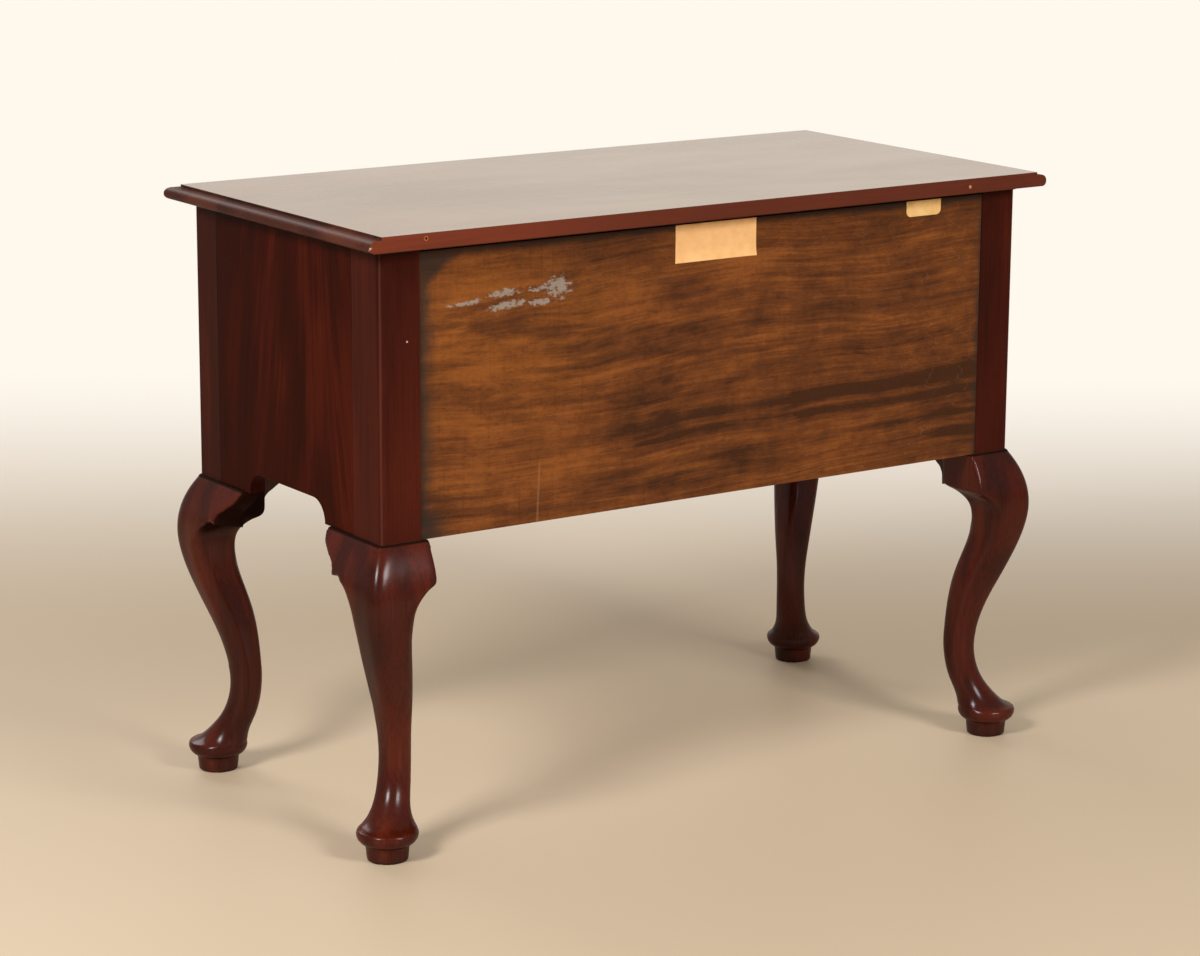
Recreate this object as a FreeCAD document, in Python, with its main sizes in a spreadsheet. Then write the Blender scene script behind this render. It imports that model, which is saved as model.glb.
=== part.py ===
import FreeCAD, Part
import math
import os
import re
import Sketcher

# A lowboy: a small chest of one long drawer over three short ones, on four cabriole legs with
# pad feet. X runs to the right as seen from the front, -Y is the front, Z is up, and the origin
# is on the floor under the middle of the chest. Sizes are in millimetres.

sizes = {
    # the whole piece
    "topHeight": 762,
    "caseWidth": 960,
    "caseDepth": 452,
    # the top and its moulded edge
    "topThickness": 25,
    "topOverhang": 28,
    "topBackOverhang": 28,
    "mouldingWidth": 16,
    "mouldingStep": 4,
    "mouldingNose": 12,
    "mouldingUndercut": 7,
    "mouldingShoulder": 3,
    "mouldingShoulderDrop": 7.7,
    "mouldingUpperRadius": 80,
    "mouldingNoseRadius": 4.8,
    "mouldingLowerRadius": 15.8,
    # posts, the upper part of each leg
    "postWidth": 64,
    "frontPostDepth": 55,
    "rearPostDepth": 62,
    "postRounding": 7,
    # the knee: an arc in profile, from the chest down to where the leg is fullest
    "kneeFullDrop": 73,
    "kneeBulge": 27,
    "kneeRadius": 123,
    # the foot
    "footInset": 12,
    "padRadius": 38,
    "padHeight": 34,
    "padTop": 38,
    "padTopRadius": 36.6,
    "padUnderRadius": 14,
    "toeRadius": 25,
    "toeTopRadius": 27,
    "toeHeight": 20,
    # the knee blocks: drops are measured down from the chest
    "kneeBlockReach": 119,
    "kneeBlockEndDrop": 6,
    "kneeBlockTipInset": 10.5,
    "kneeBlockTipDrop": 20,
    "kneeBlockTipRadius": 22,
    "kneeBlockHeel": 80,
    "kneeBlockHollow": 12,
    "kneeBlockHollowDrop": 30.5,
    "kneeBlockHollowRadius": 19,
    "kneeBlockHeelDrop": 48,
    "kneeBlockOuterDrop": 49,
    "kneeBlockInnerDrop": 58.5,
    "kneeBlockUnderRise": 3,
    "rearBlockInset": 45,
    "frontSideBlockInset": 20,
    "frontBlockInset": 22,
    # side and back panels
    "panelThickness": 20,
    "tongueThickness": 8,
    "tongueLength": 8,
    "archSetback": 132,
    "archRise": 28,
    "backPanelThickness": 8,
    "backPanelRecess": 1.5,
    "backPanelLap": 9,
    "backPanelTopGap": 2,
    # rails and dividers of the front
    "railDepth": 50,
    "topRailHeight": 18,
    "longDrawerHeight": 105,
    "middleRailHeight": 20,
    "sideDrawerHeight": 144,
    "centreDrawerHeight": 94,
    "centreDrawerWidth": 312,
    "dividerThickness": 20,
    "apronThickness": 20,
    "apronHeight": 59,
    "tenonLength": 12,
    "tenonInset": 4,
    "jointPlay": 0.2,
    # the scalloped lower edge of the apron
    "lobeHalfWidth": 22,
    "lobeRise": 13,
    "lobeRadius": 28,
    "lobeShoulder": 24,
    "lobeShoulderRadius": 30,
    "centreArchInset": 46,
    "centreArchRise": 49,
    "centreArchRadius": 48,
    "centreArchStep": 16,
    "centreArchStepRise": 6,
    "centreArchTopRadius": 237,
    # rails, runners and guides inside
    "rearRailThickness": 20,
    "rearTopRailHeight": 40,
    "rearRailHeight": 30,
    "runnerThickness": 20,
    "runnerWidth": 30,
    "guideThickness": 24,
    "guideHeight": 20,
    # drawers
    "drawerSidePlay": 1.5,
    "drawerTopPlay": 2.5,
    "drawerRunPlay": 0.3,
    "drawerRearRoom": 16,
    "frontThickness": 15,
    "lipOverlap": 6,
    "lipThickness": 5,
    "lipPlay": 0.2,
    "lipRounding": 4,
    "fieldInset": 7,
    "fieldRise": 1,
    "boardThickness": 12,
    "tailLength": 12,
    "dovetailFlare": 2,
    "pinHalf": 4,
    "bottomThickness": 6,
    "bottomHeight": 8,
    "grooveDepth": 4,
    "backDrop": 6,
    # brass pulls
    "plateHalfWidth": 52,
    "plateWing": 9,
    "plateTipRadius": 9.2,
    "plateWaist": 20,
    "plateCuspDrop": 20,
    "plateLobeRadius": 60,
    "plateHollowRadius": 45,
    "plateShoulder": 18,
    "plateDrop": 31,
    "plateRise": 22,
    "plateThickness": 1.6,
    "postSpacing": 76,
    "boltRadius": 2.4,
    "boltPlay": 0.2,
    "collarRadius": 6.5,
    "collarThickness": 2,
    "neckRadius": 3.6,
    "ballRadius": 6,
    "ballStand": 10,
    "ballFlat": 1,
    "nutRadius": 6,
    "nutThickness": 3,
    "bailRadius": 2.4,
    "bailPlay": 0.05,
    "bailPinInside": 6.5,
    "bailPinOutside": 13,
    "bailBend": 5,
    "bailCorner": 14,
    "bailDrop": 29,
    # papers on the back
    "labelWidth": 122,
    "labelDrop": 47,
    "labelPlace": -1,
    "labelThickness": 0.4,
    "tagWidth": 56,
    "tagDrop": 20,
    "tagThickness": 0.6,
    "tagInset": 88,
    "tagRounding": 7,
}

# The shin, from the top of the pad to the underside of the knee. Each level has its share of that
# way, how far its outward and inward faces stand from the corner of the chest, and its two corner
# radii: on the diagonal that runs through the knee and the toe, and beside it.
legLevels = {
    "footTop": (0, 25, 49, 36.5, 36.5),
    "instep": (0.031, 10, 47.8, 27, 28),
    "arch": (0.077, -1, 48.4, 20, 23),
    "ankleLow": (0.142, -11.1, 53.1, 18, 20.5),
    "ankleMid": (0.223, -17.7, 57.3, 17.5, 19),
    "ankle": (0.319, -20.3, 59.3, 17, 19),
    "shinLow": (0.442, -17.2, 58.1, 15, 18.8),
    "shin": (0.565, -9.5, 55.5, 14, 19.4),
    "shinTop": (0.688, 1.2, 50.4, 12, 21),
    "calf": (0.815, 12.8, 42.6, 13, 20),
    "calfTop": (0.923, 21.4, 37, 15, 19),
}
# Above it the leg flares out to the full width of the post, and then goes straight up. From here its
# outward faces follow the knee's arc, so a level has its drop below the chest, how far its inward
# faces stand from the corner, and the radii of its ridge and of its other corners.
flareLevels = {
    "underKnee": (93, 35.8, 15, 16),
    "flareLow": (80, 36.8, 15, 13.5),
    "flare": (70, 40.6, 15, 10.5),
    "flareHigh": (61, 47.5, 14.5, 8),
    "earUnder": (54, 56, 14, 5.5),
    "earHeel": (50.5, 61.6, 14, 3),
    "earCorner": (47, 63.4, 14, 1),
    "ear": (43, 64, 13.5, 0.4),
}
kneeLevels = {
    "kneeLow": (28, 64, 13, 0.4),
    "kneeTop": (14, 64, 12, 0.4),
    "crest": (0, 64, 11, 0.4),
}
for levels, parts in ((legLevels, ("Share", "Out", "In", "Ridge", "Corner")),
                      (flareLevels | kneeLevels, ("Drop", "In", "Ridge", "Corner"))):
    for level, numbers in levels.items():
        for part, number in zip(parts, numbers):
            sizes[level + part] = number

doc = FreeCAD.newDocument("Lowboy")
sheet = doc.addObject("Spreadsheet::Sheet", "Sizes")
for row, (alias, number) in enumerate(sizes.items(), 1):
    sheet.set(f"A{row}", alias)
    sheet.set(f"B{row}", str(number))
    sheet.setAlias(f"B{row}", alias)
doc.recompute()

nodes = {}


# Expressions are written with the bare names of the sheet.

def inSheet(text):
    return re.sub(r"[A-Za-z]\w*", lambda m: "Sizes." + m[0] if m[0] in sizes else m[0], str(text))


def value(text):
    return float(sheet.evalExpression(inSheet(text)))


def bind(thing, prop, text):
    thing.setExpression(prop, inSheet(text))


def place(thing, x, y, z):
    for axis, text in zip("xyz", (x, y, z)):
        bind(thing, "Placement.Base." + axis, text)


def keep(thing, label):
    thing.Label = label
    nodes[label] = thing
    return thing


# Primitives and booleans

def box(name, low, high):
    """A board between two corners, each given as three expressions."""
    made = doc.addObject("Part::Box", name)
    for prop, a, b in zip(("Length", "Width", "Height"), low, high):
        bind(made, prop, f"({b}) - ({a})")
    place(made, *low)
    return made


def rod(name, base, radius, length, direction):
    made = doc.addObject("Part::Cylinder", name)
    bind(made, "Radius", radius)
    bind(made, "Height", length)
    made.Placement.Rotation = FreeCAD.Rotation(FreeCAD.Vector(0, 0, 1), FreeCAD.Vector(*direction))
    place(made, *base)
    return made


def fused(name, shapes):
    made = doc.addObject("Part::MultiFuse", name)
    made.Shapes = shapes
    made.Refine = True
    return made


def cutFrom(name, base, tools):
    made = doc.addObject("Part::Cut", name)
    made.Base = base
    made.Tool = tools[0] if len(tools) == 1 else fused(name + "Tools", tools)
    made.Refine = True
    return made


def mirrored(name, source, normal, base=("0", "0", "0")):
    made = doc.addObject("Part::Mirroring", name)
    made.Source = source
    made.Normal = FreeCAD.Vector(*normal)
    for axis, text in zip("xyz", base):
        bind(made, "Base." + axis, text)
    return made


def group(name, shapes):
    made = doc.addObject("Part::Compound", name)
    made.Links = shapes
    return made


# Bodies and sketches

def newBody(name, x="0", y="0", z="0"):
    body = doc.addObject("PartDesign::Body", name)
    place(body, x, y, z)
    return body


def sketchOn(body, role, offset="0"):
    """A sketch on one of the body's own planes, moved along the plane's normal."""
    sketch = body.newObject("Sketcher::SketchObject", body.Name + "Sketch")
    plane = next(f for f in body.Origin.OriginFeatures if f.Role == role)
    sketch.AttachmentSupport = [(plane, "")]
    sketch.MapMode = "FlatFace"
    bind(sketch, "AttachmentOffset.Base.z", offset)
    return sketch


def outline(sketch, points, closed=True):
    """A closed outline through points (x, y) or (x, y, radius). A radius makes an arc of the edge
    that leaves the point: positive is drawn anticlockwise, negative clockwise."""
    spots = [FreeCAD.Vector(value(p[0]), value(p[1]), 0) for p in points]
    first = sketch.GeometryCount
    count = len(points)
    starts = []
    for k, point in enumerate(points[:count if closed else count - 1]):
        a, b = spots[k], spots[(k + 1) % count]
        if len(point) == 2:
            sketch.addGeometry(Part.LineSegment(a, b))
            starts.append(1)
            continue
        anticlockwise = not str(point[2]).startswith("-")
        radius = abs(value(point[2]))
        half = (b - a).Length / 2
        across = FreeCAD.Vector(a.y - b.y, b.x - a.x, 0).normalize()
        side = 1 if anticlockwise else -1
        centre = (a + b) / 2 + across * side * math.sqrt(max(radius ** 2 - half ** 2, 0))
        ends = (a, b) if anticlockwise else (b, a)
        angles = [math.atan2(p.y - centre.y, p.x - centre.x) for p in ends]
        circle = Part.Circle(centre, FreeCAD.Vector(0, 0, 1), radius)
        sketch.addGeometry(Part.ArcOfCircle(circle, *angles))
        starts.append(1 if anticlockwise else 2)
    edges = len(starts)
    for k, point in enumerate(points):
        here, end = (first + k, starts[k]) if k < edges else (first + k - 1, 3 - starts[k - 1])
        if k + 1 < edges or closed:
            following = (k + 1) % count
            sketch.addConstraint(Sketcher.Constraint("Coincident", here, 3 - end, first + following,
                                                     starts[following]))
        for kind, text in zip(("DistanceX", "DistanceY"), point):
            number = sketch.addConstraint(Sketcher.Constraint(kind, -1, 1, here, end, value(text)))
            bind(sketch, f"Constraints[{number}]", text)
        if len(point) == 3:
            text = str(point[2]).lstrip("-")
            number = sketch.addConstraint(Sketcher.Constraint("Radius", here, value(text)))
            bind(sketch, f"Constraints[{number}]", text)


def rectangle(x0, y0, x1, y1):
    return [(x0, y0), (x1, y0), (x1, y1), (x0, y1)]


def feature(body, kind, sketch, length=None, **settings):
    made = body.newObject("PartDesign::" + kind, body.Name + kind)
    made.Profile = sketch
    if length is not None:
        bind(made, "Length", length)
    for name, setting in settings.items():
        setattr(made, name, setting)
    return made


def loft(body, kind, sketches):
    made = body.newObject("PartDesign::" + kind, body.Name + kind)
    made.Profile = sketches[0]
    made.Sections = sketches[1:]
    return made


def hollow(body, name, low, high):
    """A rectangular recess in a body, between two corners in the body's own frame."""
    made = body.newObject("PartDesign::SubtractiveBox", name)
    for prop, a, b in zip(("Length", "Width", "Height"), low, high):
        bind(made, prop, f"({b}) - ({a})")
    place(made, *low)
    return made


# Places that several pieces share

sideX = "(caseWidth / 2)"
rearY = "(caseDepth / 2)"
frontY = "(-caseDepth / 2)"
openX = "(caseWidth / 2 - postWidth)"
caseTop = "(topHeight - topThickness)"
longTop = f"({caseTop} - topRailHeight)"
longLow = f"({longTop} - longDrawerHeight)"
shortTop = f"({longLow} - middleRailHeight)"
sideLow = f"({shortTop} - sideDrawerHeight)"
chestLow = f"({sideLow} - apronHeight)"
centreLow = f"({shortTop} - centreDrawerHeight)"
centreX = "(centreDrawerWidth / 2)"
dividerX = "(centreDrawerWidth / 2 + dividerThickness)"
railBack = "(-caseDepth / 2 + railDepth)"
panelBack = f"({rearY} - backPanelRecess)"
panelFront = f"({rearY} - backPanelRecess - backPanelThickness)"
rearRailFront = f"({panelFront} - rearRailThickness)"


def kneeOut(drop):
    """How far the knee's arc stands outside the chest, at a drop below it."""
    return f"(kneeBulge - kneeRadius + sqrt(kneeRadius ^ 2 - (kneeFullDrop - {drop}) ^ 2))"


# Legs. Each is modelled about the corner of the chest that it carries, outward is +X and +Y, and
# the others are its mirror images.

def legSection(body, height, low, high, ridge, corner):
    """A square section with one radius on its diagonal through the knee, and one beside it."""
    sketch = sketchOn(body, "XY_Plane", height)
    outline(sketch, [
        (f"{low} + {ridge}", low), (f"{high} - {corner}", low, corner),
        (high, f"{low} + {corner}"), (high, f"{high} - {ridge}", ridge),
        (f"{high} - {ridge}", high), (f"{low} + {corner}", high, corner),
        (low, f"{high} - {corner}"), (low, f"{low} + {ridge}", ridge),
    ])
    return sketch


def shinSection(body, level):
    height = f"padTop + {level}Share * ({chestLow} - underKneeDrop - padTop)"
    return legSection(body, height, f"(-{level}In)", f"({level}Out)", level + "Ridge", level + "Corner")


def kneeSection(body, level):
    return legSection(body, f"{chestLow} - {level}Drop", f"(-{level}In)", kneeOut(level + "Drop"),
                      level + "Ridge", level + "Corner")


def makeLeg(name, postDepth, rails):
    body = newBody(name, sideX, rearY)
    shin = [shinSection(body, level) for level in legLevels]
    flare = [kneeSection(body, level) for level in flareLevels]
    loft(body, "AdditiveLoft", shin + flare)
    knee = [kneeSection(body, level) for level in ("ear", *kneeLevels)]
    loft(body, "AdditiveLoft", knee)
    foot = sketchOn(body, "XZ_Plane", "footInset")
    bind(foot, "AttachmentOffset.Base.x", "-footInset")
    outline(foot, [("0", "0"), ("toeRadius", "0"), ("toeTopRadius", "toeHeight", "padUnderRadius"),
                   ("padRadius", "padHeight"), ("padTopRadius", "padTop"), ("0", "padTop")])
    feature(body, "Revolution", foot, ReferenceAxis=(foot, ["V_Axis"]), Angle=360)
    post = sketchOn(body, "XY_Plane", chestLow)
    outline(post, [("-postWidth", f"-{postDepth}"), ("0", f"-{postDepth}"),
                   ("0", "-postRounding", "postRounding"), ("-postRounding", "0"), ("-postWidth", "0")])
    feature(body, "Pad", post, f"{caseTop} - {chestLow}")
    groove = "panelThickness / 2 + jointPlay"
    hollow(body, name + "Groove",
           (f"-({groove}) - tongueThickness / 2", f"-{postDepth} - 1", chestLow),
           (f"-({groove}) + tongueThickness / 2 + 2 * jointPlay",
            f"-{postDepth} + tongueLength + jointPlay", caseTop))
    for k, (low, high, depth) in enumerate(rails):
        hollow(body, f"{name}Mortise{k}",
               ("-postWidth - 1", f"-{depth} + tenonInset - jointPlay", f"{low} + tenonInset - jointPlay"),
               ("-postWidth + tenonLength + jointPlay", "-tenonInset + jointPlay",
                f"{high} - tenonInset + jointPlay"))
    return body


# The tenoned pieces of the front: name, lower and upper height, depth.
frontRails = (
    (longTop, caseTop, "railDepth"),
    (shortTop, longLow, "railDepth"),
    (chestLow, sideLow, "apronThickness"),
)

rearLeg = makeLeg("RearLeg", "rearPostDepth", ())
hollow(rearLeg, "Rebate", ("-postWidth - 1", "-backPanelRecess - backPanelThickness", chestLow),
       ("-postWidth + backPanelLap", "1", caseTop))
frontLeg = makeLeg("FrontLeg", "frontPostDepth", frontRails)
keep(rearLeg, "rear_right_leg")
keep(mirrored("RearLeftLeg", rearLeg, (1, 0, 0)), "rear_left_leg")
frontRight = keep(mirrored("FrontRightLeg", frontLeg, (0, 1, 0)), "front_right_leg")
keep(mirrored("FrontLeftLeg", frontRight, (1, 0, 0)), "front_left_leg")


# Knee blocks, glued beside each leg under the chest

def makeKneeBlock(name, inset):
    """A block beside the leg, along -Y, under the side of the chest. Its underside slopes down
    to its inner face."""
    body = newBody(name, sideX, rearY, chestLow)
    deepest = "-kneeBlockInnerDrop"
    hollowStart = "kneeBlockHeel + kneeBlockHollow"
    side = sketchOn(body, "YZ_Plane", f"-{inset}")
    outline(side, [("-postWidth", "0"), ("-kneeBlockReach", "0"),
                   ("-kneeBlockReach", "-kneeBlockEndDrop", "kneeBlockTipRadius"),
                   ("-kneeBlockReach + kneeBlockTipInset", "-kneeBlockTipDrop"),
                   (f"-({hollowStart})", "-kneeBlockHollowDrop", "-kneeBlockHollowRadius"),
                   ("-kneeBlockHeel", "-kneeBlockHeelDrop"), ("-kneeBlockHeel", deepest),
                   ("-postWidth", deepest)])
    feature(body, "Pad", side, f"kneeBulge + {inset}")
    face = sketchOn(body, "XZ_Plane", "postWidth")
    outline(face, [(kneeOut("kneeBlockInnerDrop"), deepest), ("kneeBulge + 5", deepest),
                   ("kneeBulge + 5", "5"), (kneeOut("0"), "5"), (kneeOut("0"), "0", "-kneeRadius")])
    feature(body, "Pocket", face, "kneeBlockReach", Reversed=True)
    under = []
    for offset, drop in (("kneeBulge", "kneeBlockOuterDrop"), (f"-{inset}", "kneeBlockInnerDrop")):
        under.append(sketchOn(body, "YZ_Plane", offset))
        heel, leg = "-kneeBlockHeel - 1", "-postWidth + 1"
        outline(under[-1], [(leg, f"{deepest} - 1"), (heel, f"{deepest} - 1"), (heel, f"-{drop}"),
                            (leg, f"-{drop} + kneeBlockUnderRise")])
    loft(body, "SubtractiveLoft", under)
    return body


rearBlock = makeKneeBlock("RearKneeBlock", "rearBlockInset")
keep(rearBlock, "rear_right_knee_block")
keep(mirrored("RearLeftBlock", rearBlock, (1, 0, 0)), "rear_left_knee_block")
thinBlock = makeKneeBlock("SideKneeBlock", "frontSideBlockInset")
sideBlock = keep(mirrored("FrontRightSideBlock", thinBlock, (0, 1, 0)), "front_right_side_knee_block")
keep(mirrored("FrontLeftSideBlock", sideBlock, (1, 0, 0)), "front_left_side_knee_block")
thickBlock = makeKneeBlock("FrontKneeBlock", "frontBlockInset")
turned = mirrored("TurnedBlock", thickBlock, (1, -1, 0), (sideX, rearY, "0"))
frontBlock = keep(mirrored("FrontRightFrontBlock", turned, (0, 1, 0)), "front_right_knee_block")
keep(mirrored("FrontLeftFrontBlock", frontBlock, (1, 0, 0)), "front_left_knee_block")

# Side panels, with the arched lower edge, between the posts

sideEndRear = f"({rearY} - rearPostDepth)"
sideEndFront = f"({frontY} + frontPostDepth)"
rightSide = newBody("RightSide", f"{sideX} - panelThickness")
sideSketch = sketchOn(rightSide, "YZ_Plane")
archRear = f"{rearY} - archSetback"
archFront = f"{frontY} + archSetback"
archTop = f"{chestLow} + archRise"
outline(sideSketch, [(sideEndRear, chestLow), (sideEndRear, caseTop), (sideEndFront, caseTop),
                     (sideEndFront, chestLow), (archFront, chestLow, "-archRise"),
                     (f"{archFront} + archRise", archTop), (f"{archRear} - archRise", archTop, "-archRise"),
                     (archRear, chestLow)])
feature(rightSide, "Pad", sideSketch, "panelThickness")
for start in (sideEndRear, f"{sideEndFront} - tongueLength"):
    tongue = rightSide.newObject("PartDesign::AdditiveBox", "Tongue")
    bind(tongue, "Length", "tongueThickness")
    bind(tongue, "Width", "tongueLength")
    bind(tongue, "Height", f"{caseTop} - {chestLow}")
    place(tongue, "panelThickness / 2 - tongueThickness / 2", start, chestLow)
keep(rightSide, "right_side_panel")
keep(mirrored("LeftSide", rightSide, (1, 0, 0)), "left_side_panel")

lapX = f"({openX} + backPanelLap - jointPlay)"
keep(box("BackPanel", (f"-{lapX}", panelFront, chestLow),
         (lapX, panelBack, f"{caseTop} - backPanelTopGap")), "back_panel")


# The top: the overlap of two mouldings, one run across and one run from front to back

def mouldedEdge(edge, run, top, below):
    """The points of a moulded edge, from its flat underside up to the flat of the top."""
    return [(f"{run} * ({edge} - mouldingUndercut)", below, "mouldingLowerRadius"),
            (f"{run} * ({edge})", f"{top} - mouldingNose", "mouldingNoseRadius"),
            (f"{run} * ({edge} - mouldingShoulder)", f"{top} - mouldingShoulderDrop", "mouldingUpperRadius"),
            (f"{run} * ({edge} - mouldingWidth)", f"{top} - mouldingStep"),
            (f"{run} * ({edge} - mouldingWidth)", top)]


def flipped(points):
    """The same edge seen from its other end: drawn the other way round."""
    turnedBack = []
    for k in range(len(points) - 1, -1, -1):
        arc = points[k - 1][2:] if k else ()
        turnedBack.append(points[k][:2] + arc)
    return turnedBack


topEdge = f"{sideX} + topOverhang"
across = doc.addObject("Sketcher::SketchObject", "TopAcross")
across.Placement.Rotation = FreeCAD.Rotation(FreeCAD.Vector(1, 0, 0), 90)
outline(across, mouldedEdge(topEdge, "1", "topHeight", caseTop)
        + flipped(mouldedEdge(topEdge, "-1", "topHeight", caseTop)))
along = doc.addObject("Sketcher::SketchObject", "TopAlong")
along.Placement.Rotation = FreeCAD.Rotation(FreeCAD.Vector(1, 1, 1), 120)
frontEdge = "caseDepth / 2 + topOverhang"
outline(along, [(f"{rearY} + topBackOverhang", caseTop), (f"{rearY} + topBackOverhang", "topHeight")]
        + flipped(mouldedEdge(frontEdge, "-1", "topHeight", caseTop)))
slabs = []
for sketch, direction, length in ((across, (0, 1, 0), "caseDepth"), (along, (1, 0, 0), "caseWidth")):
    slab = doc.addObject("Part::Extrusion", sketch.Name + "Slab")
    slab.Base = sketch
    slab.DirMode = "Custom"
    slab.Dir = FreeCAD.Vector(*direction)
    slab.Solid = True
    slab.Symmetric = True
    bind(slab, "LengthFwd", f"{length} + 2 * topOverhang + 2 * topBackOverhang")
    slabs.append(slab)
top = keep(doc.addObject("Part::Common", "Top"), "top")
top.Base, top.Tool = slabs


# Rails of the front and the rear

def rail(name, low, high):
    """A board across the front between the posts, with a tenon at each end."""
    tenonX = f"({openX} + tenonLength)"
    board = box(name + "Board", (f"-{openX}", frontY, low), (openX, railBack, high))
    tenon = box(name + "Tenons", (f"-{tenonX}", f"{frontY} + tenonInset", f"{low} + tenonInset"),
                (tenonX, f"{railBack} - tenonInset", f"{high} - tenonInset"))
    return fused(name, [board, tenon])


keep(rail("TopRail", longTop, caseTop), "top_rail")
keep(rail("MiddleRail", shortTop, longLow), "middle_rail")
for label, low, high in (("rear_top_rail", f"{caseTop} - rearTopRailHeight", caseTop),
                         ("rear_middle_rail", f"{longLow} - rearRailHeight", longLow),
                         ("rear_lower_rail", f"{sideLow} - rearRailHeight", sideLow)):
    keep(box(label, (f"-{openX}", rearRailFront, low), (openX, panelFront, high)), label)

# The apron: stepped above for the deeper side drawers, scalloped below
lobeX = f"({centreX} + dividerThickness / 2)"
lobeZ = f"{chestLow} + lobeRise"
stepX = f"({centreX} - centreArchInset + lobeHalfWidth)"


def apronEdge(sign):
    """The lower edge of one half, from the post to the middle."""
    points = [
        (openX, chestLow),
        (f"({sideX} - archSetback)", chestLow, "archRise"),
        (f"({sideX} - archSetback - archRise)", f"{chestLow} + archRise"),
        (f"({lobeX} + lobeHalfWidth + lobeShoulder)", f"{chestLow} + archRise", "lobeShoulderRadius"),
        (f"({lobeX} + lobeHalfWidth)", lobeZ, "-lobeRadius"),
        (f"({lobeX} - lobeHalfWidth)", lobeZ, "centreArchRadius"),
        (stepX, f"{chestLow} + centreArchRise"),
        (f"({stepX} - centreArchStep)", f"{chestLow} + centreArchRise + centreArchStepRise",
         "centreArchTopRadius"),
    ]
    return [(f"{sign} * {p[0]}",) + p[1:] for p in points]


apron = newBody("Apron", "0", frontY)
apronSketch = sketchOn(apron, "XZ_Plane")
outline(apronSketch, [(centreX, centreLow), (centreX, sideLow), (openX, sideLow)]
        + apronEdge("1")
        + flipped(apronEdge("-1"))
        + [(f"-{openX}", sideLow), (f"-{centreX}", sideLow), (f"-{centreX}", centreLow)])
feature(apron, "Pad", apronSketch, "apronThickness", Reversed=True)
for sign in ("1", "-1"):
    near, far = (f"{sign} * {openX}", f"{sign} * ({openX} + tenonLength)")
    low, high = (near, far) if sign == "1" else (far, near)
    tenon = apron.newObject("PartDesign::AdditiveBox", "ApronTenon")
    bind(tenon, "Length", "tenonLength")
    bind(tenon, "Width", "apronThickness - 2 * tenonInset")
    bind(tenon, "Height", "apronHeight - 2 * tenonInset")
    place(tenon, low, "tenonInset", f"{chestLow} + tenonInset")
keep(apron, "apron")

for label, sign in (("left_divider", -1), ("right_divider", 1)):
    edges = (centreX, dividerX) if sign == 1 else (f"-{dividerX}", f"-{centreX}")
    keep(box(label, (edges[0], frontY, sideLow), (edges[1], railBack, shortTop)), label)


# Runners, on which the drawers slide, with the guides beside them

def pair(label, right):
    keep(right, "right_" + label)
    return keep(mirrored(right.Name + "Left", right, (1, 0, 0)), "left_" + label)


def postRunner(name, level):
    """A runner beside the posts, with its guide between them."""
    run = box(name + "Base", (f"{openX} - runnerWidth", apronBack, f"{level} - runnerThickness"),
              (openX, rearRailFront, level))
    guide = box(name + "Guide", (openX, f"{frontY} + frontPostDepth", f"{level} - runnerThickness"),
                (f"{openX} + guideThickness", f"{rearY} - rearPostDepth", f"{level} + guideHeight"))
    return fused(name, [run, guide])


apronBack = f"({frontY} + apronThickness)"
pair("lower_runner", postRunner("LowerRunner", sideLow))
upperRunner = cutFrom("UpperRunner", postRunner("UpperRunnerBoard", longLow),
                      [box("RailRoom", ("0", frontY, shortTop), (sideX, railBack, caseTop))])
pair("upper_runner", upperRunner)
kicker = box("Kicker", (centreX, railBack, shortTop), (dividerX, rearRailFront, longLow))
keep(group("Kickers", [kicker, mirrored("LeftKicker", kicker, (1, 0, 0))]), "kickers")
partition = fused("Partition", [
    box("PartitionBoard", (centreX, railBack, f"{sideLow} - runnerThickness"),
        (dividerX, rearRailFront, shortTop)),
    box("SideStrip", (dividerX, apronBack, f"{sideLow} - runnerThickness"),
        (f"{dividerX} + runnerWidth", rearRailFront, sideLow)),
    box("CentreStrip", (f"{centreX} - runnerWidth", apronBack, f"{centreLow} - runnerThickness"),
        (centreX, rearRailFront, centreLow)),
])
pair("partition", partition)


# Drawers. A drawer is given by the edges of its opening and by the pulls on its front.

boxFront = f"({frontY} + frontThickness)"
boxRear = f"({rearRailFront} - drawerRearRoom)"
plateFace = f"({frontY} - lipPlay - lipThickness - fieldRise)"
pivotY = f"({plateFace} - ballStand)"


def drawerSide(name, x, low, high, tails):
    """The right side of a drawer box: dovetails into the front, sockets for the back's pins."""
    body = newBody(name, f"{x} - boardThickness")
    sketch = sketchOn(body, "YZ_Plane")
    pitch = f"(({high} - {low}) / {tails})"
    points = [(boxRear, low)]
    shoulder = f"({boxRear} - boardThickness)"
    for k in range(1, tails):
        pin = f"{low} + {k} * {pitch}"
        points += [(boxRear, f"{pin} - pinHalf"), (shoulder, f"{pin} - pinHalf - dovetailFlare"),
                   (shoulder, f"{pin} + pinHalf + dovetailFlare"), (boxRear, f"{pin} + pinHalf")]
    points += [(boxRear, high), (boxFront, high)]
    for k in reversed(range(tails)):
        tail = f"{low} + ({k} + 0.5) * {pitch}"
        half = f"({pitch} / 2 - pinHalf)"
        tip = f"{boxFront} - tailLength"
        points += [(boxFront, f"{tail} + {half} - dovetailFlare"), (tip, f"{tail} + {half}"),
                   (tip, f"{tail} - {half}"), (boxFront, f"{tail} - {half} + dovetailFlare")]
    points.append((boxFront, low))
    outline(sketch, points)
    feature(body, "Pad", sketch, "boardThickness")
    return body


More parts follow.
